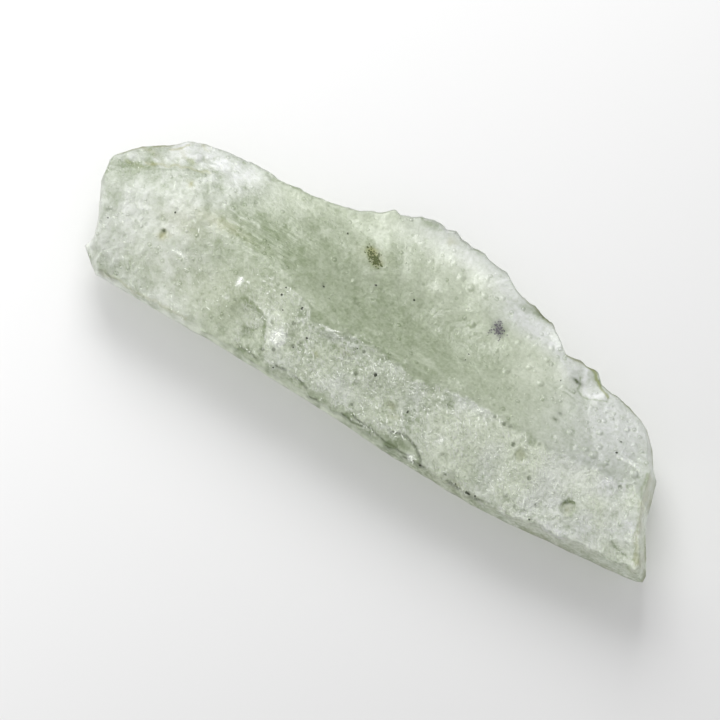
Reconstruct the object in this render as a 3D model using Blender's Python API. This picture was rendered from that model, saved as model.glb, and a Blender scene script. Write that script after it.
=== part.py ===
"""A rough, elongated chunk of pale green furnace glass, lying on its flat base facet.

The chunk is one solid. A crest runs along it: behind the crest a smooth, shell-shaped fracture falls
to a thin, chipped back edge, and in front of it a frosted, granular face falls to the front rim. Below
the rim the side is undercut, so the front edge, the back edge and both ends overhang the base facet.

Lengths are in millimetres and are scaled to metres when a mesh is made. X runs along the chunk, Y from
front to back and Z up from the base facet.
"""

import bmesh
import bpy
import numpy as np
from mathutils import Matrix, Vector

MM = 0.001

# Driving dimensions.
HEIGHT = 10.2  # base facet to the highest point of the crest
LEFT_EDGE_HEIGHT = 4.6  # the steep end faces run out from the top down to an edge this high
RIGHT_EDGE_HEIGHT = 3.6
RIGHT_FACE_RUN = 1.3  # plan width of the right end face
RISER_RUN = 0.8  # plan width of the small step below the crest
UNDERCUT_FRONT = 1.5  # slope of the undercut side below the front edge, and below each end
UNDERCUT_LEFT = 1.3
UNDERCUT_RIGHT = 1.2
PROFILE_REACH = 3.0  # the height profiles are averaged this far to either side
LINE_REACH = 5.0  # and so are the lines that the face and the fracture run between
FLANGE_CURVE = 0.034  # how fast the underside of the back edge steepens, per millimetre
WALL = 0.9  # least thickness, reached this far inside the outline:
WALL_RUN = 1.6

# Mesh density: columns along the chunk, and rows across each stretch of its top.
COLUMNS = 78
BAND_ROWS = 2
FACE_ROWS = 9
RISER_ROWS = 1
SCOOP_ROWS = 12
LINE_SAMPLES = 160

# The outline seen from above: front edge and back edge from left to right, ends from front to back.
FRONT_EDGE = [
    (-31.4, -10.6), (-25, -10.8), (-17, -10.9), (-10, -11.2), (-5, -11.4), (0, -11.7), (5, -12.1),
    (10, -12.3), (16, -12.4), (20, -12.2), (25, -11.7), (30, -11.3), (34, -11), (35.6, -10.8),
]
BACK_EDGE = [
    (-36.4, 1.1), (-35.1, 2.9), (-34.1, 4), (-32.1, 5.4), (-30, 7), (-28, 7.8), (-25, 8.2), (-23, 8.4),
    (-20, 8.4), (-19, 8.2), (-16, 8.6), (-12, 9.2), (-10, 9.7), (-8, 10.7), (-7, 11.7), (-6, 11.5),
    (-5, 11.8), (-4, 12.4), (-2, 12.8), (-1, 12.5), (0, 12.8), (1, 12.4), (4, 12.2), (5, 11.8),
    (7, 11.8), (9, 10.4), (11, 10), (14, 9.2), (15, 8.5), (17, 7), (18, 6.8), (19, 7.1), (21, 6.8),
    (22, 5.9), (24, 5.6), (25, 5.3), (27, 4.8), (28.5, 4.2),
]
LEFT_END = [
    (-31.4, -10.6), (-32.5, -9.7), (-33.2, -9.1), (-34.1, -8.4), (-33.7, -7.1), (-34.3, -5.3),
    (-35.1, -3.3), (-36.1, -1.3), (-36.4, 1.1),
]
RIGHT_END = [
    (35.6, -10.8), (36.3, -10.5), (36.2, -9.8), (35.4, -8.1), (34.2, -6.1), (33.2, -4), (32.8, -2.3),
    (32.2, -0.2), (31.2, 0.8), (30.2, 2.5), (28.5, 4.2),
]

# The crest, where the smooth fracture ends: (x, y).
CREST = [
    (-37, -2.6), (-30, -1.3), (-24, -0.9), (-18, -1.4), (-13.6, -1.8), (-10.6, -2.1), (-9.4, -2.6),
    (-8.2, -4.2), (-6.6, -4.5), (-4.6, -4.0), (-3.6, -3.4), (0.4, -3.3), (2.4, -3.5), (3.4, -4.2),
    (4.9, -4.3), (6.4, -3.9), (7.4, -3.4), (9.4, -3.1), (16.3, -3.3), (20.3, -3.5), (23.3, -3.4),
    (27.3, -2.6), (30.3, -2.2), (37, -5.0),
]

# How softly the top turns over the crest, as a share of the stretch behind it: (x, share).
CREST_ROUNDNESS = [(-37, 0.3), (-14, 0.25), (-9, 0.03), (6, 0.03), (12, 0.12), (24, 0.25), (37, 0.25)]

# The left end face across the chunk: (y, plan width) and (y, how late it climbs). A thin splinter
# stands out where the face is wide and stays low.
LEFT_FACE_RUN = [(-10.6, 0.3), (-9.3, 0.9), (-8.4, 1.6), (-7.1, 0.4), (1.1, 0.3)]
LEFT_FACE_BEND = [(-10.6, 1.0), (-9.3, 2.0), (-8.4, 4.0), (-7.2, 1.0)]

# Heights along the chunk: (x, z).
CREST_HEIGHT = [(-37, 7.3), (-30, 8.7), (-24, 9.4), (-16, 9.9), (-8, HEIGHT), (2, 10.0), (12, 9.4),
                (22, 8.6), (30, 8.1), (37, 7.9)]
RISER_HEIGHT = [(-15, 0), (-11, 0.1), (-7.5, 0.45), (-3, 0.25), (2, 0.4), (6, 0.35), (9, 0.1), (31, 0)]
RIM_HEIGHT = [(-32, 6.5), (-25, 7.3), (-17, 7.6), (-8, 7.7), (4, 7.4), (16, 7.2), (28, 7.6), (37, 8.1)]
FRONT_HEIGHT = [(-32, 4.9), (-22, 5.7), (-10, 5.9), (4, 5.5), (13, 5.0), (20, 4.0), (28, 3.3), (37, 3.5)]
BACK_HEIGHT = [(-37, 5.3), (-28, 4.9), (-18, 4.9), (-8, 4.5), (2, 4.1), (12, 4.3), (20, 4.8), (29, 5.6)]
FLANGE_SLOPE = [(-37, 0.85), (-20, 0.6), (-10, 0.35), (0, 0.2), (10, 0.22), (20, 0.35), (30, 0.55)]
BAND_WIDTH = [(-32, 0.3), (-17, 0.35), (0, 0.4), (16, 0.4), (22, 0.45), (26, 0.5), (31, 0.45), (37, 0.6)]
SCOOP_POWER = [(-37, 0.8), (-24, 0.9), (-14, 1.3), (0, 1.4), (14, 1.3), (30, 1.1)]

# Shell-shaped scars and lumps: (x, y, half length, half width, depth). A negative depth is a lump.
TOP_SCARS = [
    (1.0, 1.6, 13.5, 4.6, 0.9),  # the large smooth scoop
    (-17.5, 1.6, 8.0, 3.6, 0.45),
    (19.5, 1.4, 9.5, 5.0, 0.5),
    (-28.0, 1.0, 5.5, 4.2, -0.45),  # the pale lump at the left end
    (1.0, 9.7, 8.5, 3.0, 0.25),  # flakes off the thin back margin
    (12.5, 8.2, 4.2, 2.4, 0.3),
    (-10.0, 7.9, 4.6, 2.2, 0.3),
    (20.6, 4.6, 2.4, 2.4, 0.4),
    (-13.9, -8.1, 2.9, 2.4, 0.8),  # hollows and lumps of the frosted face
    (-22.5, -6.6, 5.6, 3.4, 0.5),
    (-10.6, -6.4, 1.9, 2.0, -0.45),
    (4.5, -7.3, 5.0, 2.6, 0.4),
    (12.5, -6.0, 4.8, 2.6, -0.35),
    (22.0, -8.6, 4.2, 2.4, 0.4),
    (28.6, -6.2, 4.0, 3.0, -0.3),
    (33.2, -9.6, 2.2, 1.5, 0.7),
    (13.6, -12.0, 1.9, 1.1, 0.6),  # chips along the front rim
    (-8.0, -10.9, 2.2, 1.0, 0.5),
    (-19.0, -10.6, 1.8, 0.8, 0.4),
]
UNDERSIDE_SCARS = [
    (-14.0, -7.5, 9.0, 4.0, 0.9),
    (6.0, -8.6, 10.0, 4.2, 0.9),
    (24.0, -7.8, 7.0, 4.5, 0.8),
    (-22.0, 5.0, 9.0, 4.6, 0.7),
    (-3.0, 8.0, 9.5, 4.0, 0.6),
    (15.0, 5.4, 8.0, 4.0, 0.6),
    (-31.5, -3.5, 4.0, 6.0, 0.8),
    (31.0, -3.5, 4.0, 6.0, 0.8),
]

# Broad unevenness of the broken glass: (wavelength, direction in degrees, share of the height).
WAVES = [(7.3, 20, 1.0), (5.1, 75, 0.8), (3.9, 130, 0.7), (3.1, 40, 0.5), (2.6, 100, 0.4)]
FACE_UNEVENNESS = 0.05
SCOOP_UNEVENNESS = 0.03
UNDERSIDE_UNEVENNESS = 0.12

# The bevel that cuts off the back left corner: a point on its upper line, the direction in which it
# falls, its height there and its slope.
BEVEL_POINT = (-28.3, 3.9)
BEVEL_AWAY = (-0.326, 0.945)
BEVEL_HEIGHT = 8.0
BEVEL_SLOPE = 0.78

# Chips and burst bubbles cut into the top: name, x, y, the three half sizes and the depth.
PITS = [
    ("rim_chip", 7.4, -11.5, 2.1, 1.7, 1.6, 0.6),
    ("rim_chip_left", -8.6, -10.9, 1.3, 0.7, 0.9, 0.3),
    ("bubble_pit_large", 26.2, -8.0, 1.0, 1.0, 1.0, 0.5),
    ("bubble_pit_round", 18.6, -5.7, 0.8, 0.8, 0.8, 0.35),
    ("bubble_pit_left", -26.8, -3.7, 0.55, 0.55, 0.6, 0.35),
    ("bubble_pit_end", 30.1, -1.6, 0.5, 0.5, 0.6, 0.3),
    ("edge_notch", 21.1, 4.9, 1.0, 1.5, 1.0, 0.5),
    ("slot_chip", 19.7, 4.6, 0.8, 0.4, 0.7, 0.35),
    ("back_chip_left", -2.4, 12.3, 1.4, 0.7, 0.9, 0.3),
    ("back_chip_right", 12.3, 9.6, 2.0, 0.7, 0.9, 0.35),
    ("corner_chip", 32.8, -9.5, 1.2, 0.5, 0.7, 0.35),
    ("face_pit_left", -17.0, -4.4, 0.6, 0.6, 0.6, 0.3),
    ("face_pit_middle", 0.7, -6.0, 0.6, 0.5, 0.6, 0.3),
    ("hollow", -13.6, -8.7, 1.0, 0.9, 0.9, 0.35),
]
PIT_SEGMENTS = 14
PIT_RINGS = 8

COLOUR = (0.60, 0.68, 0.55, 1.0)  # linear, pale grey-green
SHARP_ANGLE = 0.5


def along(points, x):
    """The second value of a list of pairs at each x, straight between the pairs."""
    table = np.array(points, dtype=float)
    return np.interp(x, table[:, 0], table[:, 1])


def softly(points, x, reach):
    """The value along a list of pairs, averaged over reach to either side of each x."""
    return np.mean([along(points, x + offset) for offset in np.linspace(-reach, reach, 9)], axis=0)


def spaced(points, t):
    """Points along a polyline, with t running from 0 to 1 over its length."""
    table = np.array(points, dtype=float)
    steps = np.hypot(*np.diff(table, axis=0).T)
    length = np.concatenate([[0], np.cumsum(steps)])
    return np.stack([np.interp(t * length[-1], length, table[:, k]) for k in (0, 1)], axis=-1)


def outline_patch(s, w):
    """The plan point for s along the chunk and w across it, 0 to 1: a Coons patch on the outline."""
    s, w = np.broadcast_arrays(s, w)
    front = np.stack([FRONT_EDGE[0][0] + s * (FRONT_EDGE[-1][0] - FRONT_EDGE[0][0])] * 2, axis=-1)
    front[..., 1] = along(FRONT_EDGE, front[..., 0])
    back = np.stack([BACK_EDGE[0][0] + s * (BACK_EDGE[-1][0] - BACK_EDGE[0][0])] * 2, axis=-1)
    back[..., 1] = along(BACK_EDGE, back[..., 0])
    left, right = spaced(LEFT_END, w), spaced(RIGHT_END, w)
    s, w = s[..., None], w[..., None]
    corners = (
        (1 - s) * (1 - w) * np.array(FRONT_EDGE[0]) + s * (1 - w) * np.array(FRONT_EDGE[-1])
        + (1 - s) * w * np.array(BACK_EDGE[0]) + s * w * np.array(BACK_EDGE[-1])
    )
    return (1 - w) * front + w * back + (1 - s) * left + s * right - corners


def first_crossing(s, height):
    """For each column s, the w at which height(point) first rises through zero."""
    w = np.linspace(0, 1, LINE_SAMPLES)
    values = height(outline_patch(s[:, None], w[None, :]))
    index = np.clip(np.argmax(values > 0, axis=1), 1, LINE_SAMPLES - 1)
    columns = np.arange(len(s))
    before, after = values[columns, index - 1], values[columns, index]
    return w[index - 1] + (w[1] - w[0]) * np.clip(before / (before - after), 0, 1)


def scarred(z, x, y, scars, sign):
    """z with each scar taken out of it: an oval bowl, deepest at its middle, that runs out softly."""
    for cx, cy, half_length, half_width, depth in scars:
        inside = 1 - ((x - cx) / half_length) ** 2 - ((y - cy) / half_width) ** 2
        z = z - sign * depth * np.clip(inside, 0, None) ** 1.5
    return z


def unevenness(x, y):
    """A sum of plane waves that cross each other, so that no lump repeats."""
    total = 0.0
    for wavelength, direction, share in WAVES:
        angle = np.radians(direction)
        phase = (x * np.cos(angle) + y * np.sin(angle)) / wavelength
        total = total + share * np.sin(2 * np.pi * phase + wavelength * np.sin(phase))
    return total


def rows_between(start, end, count):
    """count evenly spaced rows after start, the last of them at end, for every column."""
    step = np.arange(1, count + 1) / count
    return start[:, None] + (end - start)[:, None] * step[None, :]


def with_end_faces(z, y, left, right):
    """Heights brought down to the end edges, over the plan width of each end face."""
    climb = np.clip(left / along(LEFT_FACE_RUN, y), 0, 1) ** along(LEFT_FACE_BEND, y)
    z = LEFT_EDGE_HEIGHT + (z - LEFT_EDGE_HEIGHT) * climb
    return RIGHT_EDGE_HEIGHT + (z - RIGHT_EDGE_HEIGHT) * np.clip(right / RIGHT_FACE_RUN, 0, 1)


def body_points():
    """The top and underside grids, (columns, rows, 3), which share their outermost points."""
    s = 0.5 - 0.5 * np.cos(np.pi * np.linspace(0, 1, COLUMNS))
    s = 0.35 * s + 0.65 * np.linspace(0, 1, COLUMNS)
    zero, one = np.zeros(COLUMNS), np.ones(COLUMNS)
    crest = first_crossing(s, lambda p: p[..., 1] - along(CREST, p[..., 0]))
    foot = first_crossing(s, lambda p: p[..., 1] - along(CREST, p[..., 0]) + RISER_RUN)
    rim = first_crossing(
        s, lambda p: p[..., 1] - along(FRONT_EDGE, p[..., 0]) - along(BAND_WIDTH, p[..., 0])
    )
    w = np.concatenate(
        [
            zero[:, None],
            rows_between(zero, rim, BAND_ROWS),
            rows_between(rim, foot, FACE_ROWS),
            rows_between(foot, crest, RISER_ROWS),
            rows_between(crest, one, SCOOP_ROWS),
        ],
        axis=1,
    )
    plan = outline_patch(s[:, None], w)
    x, y = plan[..., 0], plan[..., 1]
    rim, foot, crest = rim[:, None], foot[:, None], crest[:, None]

    # The top, stretch by stretch: front band, frosted face, riser and smooth fracture.
    # The face and the fracture are smooth surfaces on averaged lines, and meet at the ragged crest.
    crest_z, foot_drop, rim_z, front_z, back_z, soft, power = (
        softly(profile, x, PROFILE_REACH)
        for profile in (
            CREST_HEIGHT, RISER_HEIGHT, RIM_HEIGHT, FRONT_HEIGHT, BACK_HEIGHT, CREST_ROUNDNESS, SCOOP_POWER
        )
    )
    crest_line, back_line = softly(CREST, x, LINE_REACH), softly(BACK_EDGE, x, LINE_REACH)
    rim_line = along(FRONT_EDGE, x) + along(BAND_WIDTH, x)
    on_band = np.clip(w / rim, 0, 1)
    on_face = np.clip((y - rim_line) / (crest_line - rim_line), 0, 1)
    on_riser = np.clip((w - foot) / (crest - foot), 0, 1)
    on_scoop = np.clip((y - crest_line) / (back_line - crest_line), 0, 1)
    eased = (np.hypot(on_scoop, soft) - soft) / (np.hypot(1, soft) - soft)
    face = rim_z + (crest_z - foot_drop - rim_z) * np.sin(on_face * np.pi / 2) ** 0.9
    scoop = back_z + (crest_z - back_z) * (1 - eased) ** power
    top = face + (scoop - face) * on_riser - (rim_z - front_z) * (1 - on_band)
    top = scarred(top, x, y, TOP_SCARS, 1)
    rough = FACE_UNEVENNESS + (SCOOP_UNEVENNESS - FACE_UNEVENNESS) * np.clip(2 * on_riser, 0, 1)
    top = top + rough * unevenness(x, y)
    beyond = (x - BEVEL_POINT[0]) * BEVEL_AWAY[0] + (y - BEVEL_POINT[1]) * BEVEL_AWAY[1]
    bevel = BEVEL_HEIGHT - BEVEL_SLOPE * np.clip(beyond, 0, None) + 3 * np.clip(-beyond, 0, None)
    top = np.minimum(top, bevel)
    left = x - outline_patch(0.0, w)[..., 0]
    right = outline_patch(1.0, w)[..., 0] - x
    top = with_end_faces(top, y, left, right)

    # The underside falls away from the edge height and stops at the base facet.
    front_rim = with_end_faces(front_z, y, left, right)[:, :1]
    back_rim = with_end_faces(back_z, y, left, right)[:, -1:]
    edge = (1 - w) * front_rim + w * back_rim
    width = np.hypot(x[:, -1:] - x[:, :1], y[:, -1:] - y[:, :1])
    front_in, back_in = w * width, (1 - w) * width
    flange = along(FLANGE_SLOPE, x) * back_in + FLANGE_CURVE * back_in**2
    depth = np.minimum(UNDERCUT_FRONT * front_in, flange)
    depth = np.minimum(depth, np.minimum(UNDERCUT_LEFT * left, UNDERCUT_RIGHT * right))
    inner = np.clip(depth / 1.5, 0, 1)
    under = edge - depth
    hollowed = scarred(under, x, y, UNDERSIDE_SCARS, -1) + UNDERSIDE_UNEVENNESS * unevenness(y, x)
    under = under + inner * (hollowed - under)
    inset = np.minimum(np.minimum(front_in, back_in), np.minimum(left, right))
    wall = WALL * np.clip(inset / WALL_RUN, 0, 1)
    under = np.clip(np.minimum(under, top - wall), 0, None)
    return np.stack([x, y, top], axis=-1), np.stack([x, y, under], axis=-1)


def closed_surface(top, under):
    """A mesh from two grids that share their rims: the underside's rim points are the top's."""
    columns, rows = top.shape[:2]
    top_index = np.arange(columns * rows).reshape(columns, rows)
    under_index = top_index.copy()
    inside = under[1:-1, 1:-1]
    under_index[1:-1, 1:-1] = columns * rows + np.arange(inside.shape[0] * inside.shape[1]).reshape(
        inside.shape[:2]
    )

    def quads(index):
        return np.stack([index[:-1, :-1], index[1:, :-1], index[1:, 1:], index[:-1, 1:]], axis=-1)

    faces = np.concatenate([quads(top_index).reshape(-1, 4), quads(under_index)[..., ::-1].reshape(-1, 4)])
    points = np.concatenate([top.reshape(-1, 3), inside.reshape(-1, 3)]) * MM
    mesh = bpy.data.meshes.new("glass_chunk")
    mesh.from_pydata(points.tolist(), [], faces.tolist())
    return mesh


def glass():
    """Pale green, see-through glass with a slightly frosted surface."""
    material = bpy.data.materials.new("furnace_glass")
    material.use_nodes = True
    shader = material.node_tree.nodes["Principled BSDF"]
    shader.inputs["Base Color"].default_value = COLOUR
    shader.inputs["Roughness"].default_value = 0.3
    shader.inputs["IOR"].default_value = 1.52
    shader.inputs["Transmission Weight"].default_value = 0.9
    material.diffuse_color = COLOUR
    return material


def pit_cutter(name, place, size, cutters):
    """An ellipsoid that a Boolean takes out of the chunk: drawn as wire and left out of the part."""
    shape = bmesh.new()
    bmesh.ops.create_uvsphere(shape, u_segments=PIT_SEGMENTS, v_segments=PIT_RINGS, radius=1.0)
    mesh = bpy.data.meshes.new(name)
    shape.to_mesh(mesh)
    shape.free()
    cutter = bpy.data.objects.new(name, mesh)
    cutter.matrix_world = Matrix.Translation(place) @ Matrix.Diagonal((*size, 1.0))
    cutter.hide_render = True
    cutter.display_type = "WIRE"
    cutters.objects.link(cutter)
    return cutter


def main():
    for old in list(bpy.data.objects):
        bpy.data.objects.remove(old, do_unlink=True)
    parts = bpy.data.collections.new("glass_chunk")
    cutters = bpy.data.collections.new("cutters")
    for collection in (parts, cutters):
        bpy.context.scene.collection.children.link(collection)

    top, under = body_points()
    middle = (top[..., :2].reshape(-1, 2).max(axis=0) + top[..., :2].reshape(-1, 2).min(axis=0)) / 2
    for grid in (top, under):
        grid[..., :2] -= middle
    chunk = bpy.data.objects.new("glass_chunk", closed_surface(top, under))
    chunk.data.materials.append(glass())
    parts.objects.link(chunk)

    surface = top.reshape(-1, 3)
    for name, x, y, half_x, half_y, half_z, depth in PITS:
        x, y = x - middle[0], y - middle[1]
        nearest = surface[np.argmin(np.hypot(surface[:, 0] - x, surface[:, 1] - y))]
        place = Vector((x, y, nearest[2] + half_z - depth)) * MM
        cut = chunk.modifiers.new(name, "BOOLEAN")
        cut.operation = "DIFFERENCE"
        cut.solver = "EXACT"
        cut.object = pit_cutter(name, place, Vector((half_x, half_y, half_z)) * MM, cutters)
    chunk.data.shade_smooth()
    chunk.data.set_sharp_from_angle(angle=SHARP_ANGLE)


main()
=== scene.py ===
"""A rough chunk of pale green furnace glass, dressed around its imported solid.

Lengths below are in millimetres and become metres when a mesh is made. X runs along the chunk, Y from
the frosted front face to the thin back edge, and Z up from the facet that it rests on.
"""

from types import SimpleNamespace

import bmesh
import bpy
import numpy as np
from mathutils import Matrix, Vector


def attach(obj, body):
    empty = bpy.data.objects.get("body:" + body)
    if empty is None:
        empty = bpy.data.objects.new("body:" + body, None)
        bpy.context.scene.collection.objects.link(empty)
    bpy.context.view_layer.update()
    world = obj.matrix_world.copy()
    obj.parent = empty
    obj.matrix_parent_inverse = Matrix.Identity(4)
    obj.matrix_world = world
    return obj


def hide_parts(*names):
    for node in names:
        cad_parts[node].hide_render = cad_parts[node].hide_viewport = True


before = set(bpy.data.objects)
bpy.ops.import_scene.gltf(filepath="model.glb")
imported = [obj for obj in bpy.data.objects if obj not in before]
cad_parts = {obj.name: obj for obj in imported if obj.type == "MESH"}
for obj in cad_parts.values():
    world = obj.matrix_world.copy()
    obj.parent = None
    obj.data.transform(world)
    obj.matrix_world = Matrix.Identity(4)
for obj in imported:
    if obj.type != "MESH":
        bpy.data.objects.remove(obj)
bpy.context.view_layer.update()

# ------------------------------------------------------------
# The chunk of furnace glass
# One solid piece of soda-lime slag glass, poured, cooled and then broken off a larger block. The
# smooth scoop behind the crest is a clean shell-shaped fracture, and the front face broke through a
# layer of fine bubbles, which left it frosted and granular. Its underside is a plain flat facet.
# ------------------------------------------------------------

MM = 0.001
COLUMNS = 460  # along the chunk
BAND_ROWS = 9
FACE_ROWS = 54
RISER_ROWS = 6
SCOOP_ROWS = 81
UNDERSIDE_STEP = 3  # the underside has a row under every third row of the top
LINE_SAMPLES = 400

# The outline seen from above: front edge and back edge from left to right, ends from front to back.
FRONT_EDGE = [
    (-31.4, -10.6), (-25, -10.8), (-17, -10.9), (-10, -11.2), (-5, -11.4), (0, -11.7), (5, -12.1),
    (10, -12.3), (16, -12.4), (20, -12.2), (25, -11.7), (30, -11.3), (34, -11), (35.6, -10.8),
]
BACK_EDGE = [
    (-36.4, 1.1), (-35.1, 2.9), (-34.1, 4), (-32.1, 5.4), (-30, 7), (-28, 7.8), (-25, 8.2), (-23, 8.4),
    (-20, 8.4), (-19, 8.2), (-16, 8.6), (-12, 9.2), (-10, 9.7), (-8, 10.7), (-7, 11.7), (-6, 11.5),
    (-5, 11.8), (-4, 12.4), (-2, 12.8), (-1, 12.5), (0, 12.8), (1, 12.4), (4, 12.2), (5, 11.8),
    (7, 11.8), (9, 10.4), (11, 10), (14, 9.2), (15, 8.5), (17, 7), (18, 6.8), (19, 7.1), (21, 6.8),
    (22, 5.9), (24, 5.6), (25, 5.3), (27, 4.8), (28.5, 4.2),
]
LEFT_END = [
    (-31.4, -10.6), (-32.5, -9.7), (-33.2, -9.1), (-34.1, -8.4), (-33.7, -7.1), (-34.3, -5.3),
    (-35.1, -3.3), (-36.1, -1.3), (-36.4, 1.1),
]
RIGHT_END = [
    (35.6, -10.8), (36.3, -10.5), (36.2, -9.8), (35.4, -8.1), (34.2, -6.1), (33.2, -4), (32.8, -2.3),
    (32.2, -0.2), (31.2, 0.8), (30.2, 2.5), (28.5, 4.2),
]
CREST = [
    (-37, -2.6), (-30, -1.3), (-24, -0.9), (-18, -1.4), (-13.6, -1.8), (-10.6, -2.1), (-9.4, -2.6),
    (-8.2, -4.2), (-6.6, -4.5), (-4.6, -4.0), (-3.6, -3.4), (0.4, -3.3), (2.4, -3.5), (3.4, -4.2),
    (4.9, -4.3), (6.4, -3.9), (7.4, -3.4), (9.4, -3.1), (16.3, -3.3), (20.3, -3.5), (23.3, -3.4),
    (27.3, -2.6), (30.3, -2.2), (37, -5.0),
]

# How softly the top turns over the crest, as a share of the stretch behind it: (x, share).
CREST_ROUNDNESS = [(-37, 0.3), (-14, 0.25), (-9, 0.03), (6, 0.03), (12, 0.12), (24, 0.25), (37, 0.25)]

# Heights along the chunk: (x, z).
CREST_HEIGHT = [
    (-37, 7.3), (-30, 8.7), (-24, 9.4), (-16, 9.9), (-8, 10.2), (2, 10.0), (12, 9.4), (22, 8.6), (30, 8.1),
    (37, 7.9),
]
RISER_HEIGHT = [(-15, 0), (-11, 0.1), (-7.5, 0.45), (-3, 0.25), (2, 0.4), (6, 0.35), (9, 0.1), (31, 0)]
RIM_HEIGHT = [(-32, 6.5), (-25, 7.3), (-17, 7.6), (-8, 7.7), (4, 7.4), (16, 7.2), (28, 7.6), (37, 8.1)]
FRONT_HEIGHT = [(-32, 4.9), (-22, 5.7), (-10, 5.9), (4, 5.5), (13, 5.0), (20, 4.0), (28, 3.3), (37, 3.5)]
BACK_HEIGHT = [(-37, 5.3), (-28, 4.9), (-18, 4.9), (-8, 4.5), (2, 4.1), (12, 4.3), (20, 4.8), (29, 5.6)]
FLANGE_SLOPE = [(-37, 0.85), (-20, 0.6), (-10, 0.35), (0, 0.2), (10, 0.22), (20, 0.35), (30, 0.55)]
FLANGE_CURVE = 0.034
BAND_WIDTH = [(-32, 0.3), (-17, 0.35), (0, 0.4), (16, 0.4), (22, 0.45), (26, 0.5), (31, 0.45), (37, 0.6)]
SCOOP_POWER = [(-37, 0.8), (-24, 0.9), (-14, 1.3), (0, 1.4), (14, 1.3), (30, 1.1)]
RISER_RUN = 0.8
PROFILE_REACH, LINE_REACH = 3.0, 5.0  # how far the height profiles and the plan lines are averaged
LEFT_EDGE_HEIGHT = 4.6
LEFT_FACE_RUN = [(-10.6, 0.3), (-9.3, 0.9), (-8.4, 1.6), (-7.1, 0.4), (1.1, 0.3)]  # (y, plan width)
LEFT_FACE_BEND = [(-10.6, 1.0), (-9.3, 2.0), (-8.4, 4.0), (-7.2, 1.0)]  # a thin splinter stands out
RIGHT_EDGE_HEIGHT, RIGHT_FACE_RUN = 3.6, 0.95
UNDERCUT_FRONT, UNDERCUT_LEFT, UNDERCUT_RIGHT = 1.5, 1.3, 1.2
WALL, WALL_RUN = 0.9, 1.6
SCARS_FROM = 1.5  # how deep the underside has fallen where its scars reach their full depth
EDGE_ROUND = 0.35  # the thin edges are blunt, as if rolled to this radius

# Shell-shaped scars and lumps: (x, y, half length, half width, depth). A negative depth is a lump.
TOP_SCARS = [
    (1, 1.6, 13.5, 4.6, 0.9),  # the large smooth scoop
    (-17.5, 1.6, 8, 3.6, 0.45), (19.5, 1.4, 9.5, 5, 0.5),
    (-28, 1, 5.5, 4.2, -0.45),  # the pale lump at the left end
    (1, 9.7, 8.5, 3, 0.25),  # flakes off the thin back margin
    (12.5, 8.2, 4.2, 2.4, 0.3), (-10, 7.9, 4.6, 2.2, 0.3), (20.6, 4.6, 2.4, 2.4, 0.3),
    (-13.9, -8.1, 3.2, 2.4, 0.4),  # hollows and lumps of the frosted face
    (-22.5, -6.6, 5.6, 3.4, 0.5), (-10.6, -6.4, 1.9, 2, -0.45), (4.5, -7.3, 5, 2.6, 0.4),
    (12.5, -6, 4.8, 2.6, -0.35), (22, -8.6, 4.2, 2.4, 0.4), (28.6, -6.2, 4, 3, -0.3),
    (33.2, -9.6, 2.2, 1.5, 0.7),
    (13.6, -12, 1.9, 1.1, 0.6),  # chips along the front rim
    (-8, -10.9, 2.2, 1, 0.5), (-19, -10.6, 1.8, 0.8, 0.4),
]
UNDERSIDE_SCARS = [
    (-14, -7.5, 9, 4, 0.9), (6, -8.6, 10, 4.2, 0.9), (24, -7.8, 7, 4.5, 0.8), (-22, 5, 9, 4.6, 0.7),
    (-3, 8, 9.5, 4, 0.6), (15, 5.4, 8, 4, 0.6), (-31.5, -3.5, 4, 6, 0.8), (31, -3.5, 4, 6, 0.8),
]
# Broad unevenness of the broken glass: (wavelength, direction in degrees, share of the height).
WAVES = [(7.3, 20, 1.0), (5.1, 75, 0.8), (3.9, 130, 0.7), (3.1, 40, 0.5), (2.6, 100, 0.4)]
FACE_UNEVENNESS, SCOOP_UNEVENNESS, UNDERSIDE_UNEVENNESS = 0.035, 0.03, 0.08
# The bevel that cuts off the back left corner: a point on its upper line, the direction in which it
# falls, its height there, its slope, and how steeply it stays clear of the top in front of that line.
BEVEL_POINT, BEVEL_AWAY = (-28.3, 3.9), (-0.326, 0.945)
BEVEL_HEIGHT, BEVEL_SLOPE, BEVEL_CLEAR = 8.0, 0.78, 3.0
# Pale lumps on the bevel and the pebbly skin beside it: (x, y, half length, half width, share).
BEVEL_LUMPS = [
    (-34.3, 2.2, 0.5, 0.4, 1), (-32.6, 2.3, 0.6, 0.35, 1), (-31.8, 3.3, 0.5, 0.4, 1.2),
    (-30.9, 4, 0.4, 0.3, 0.7), (-28.3, 5.7, 0.55, 0.4, 1.3), (-27.2, 6.6, 0.3, 0.25, 0.5),
    (-33.5, 2.5, 0.3, 0.25, 0.8), (-26.2, 5.9, 0.3, 0.25, 0.5), (-29.7, 5, 0.35, 0.3, 0.6),
]
PEBBLES = [(-25, 4.2, 3.6, 1.8, 1)]
LUMP_HEIGHT, PEBBLE_SIZE, PEBBLE_HEIGHT = 0.3, 0.75, 0.14
# The finest relief of each kind of skin: (size of the pattern, height).
FROST_GRANULES, FROST_GRAIN, FROST_SWELL = (0.6, 0.012), (0.5, 0.015), (2.6, 0.05)
SMOOTH_WAVES, FLAKE_GRANULES = (0.6, 0.016), (0.5, 0.09)
STRIAE_SPACING, STRIAE_SLANT, STRIAE_HEIGHT = 0.62, 0.07, 0.015
# Smooth facets of the rim: (x, y, half length, half width, share).
CHIPS = [(7.4, -11.1, 1.8, 1, 1)]
# Round flat windows, where the frost is ground off a bubble: (x, y, radius, how dark).
WINDOWS = [
    (18.4, -5.75, 0.6, 0.55), (18.7, -3.85, 0.65, 0.2), (25.6, -8.1, 0.78, 0.5), (-26.75, -3.8, 0.5, 0.3),
    (-13.7, -8.6, 0.6, 0.25), (-29.1, -0.4, 0.4, 0.3), (-25.9, 0, 0.4, 0.15),
]
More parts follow.
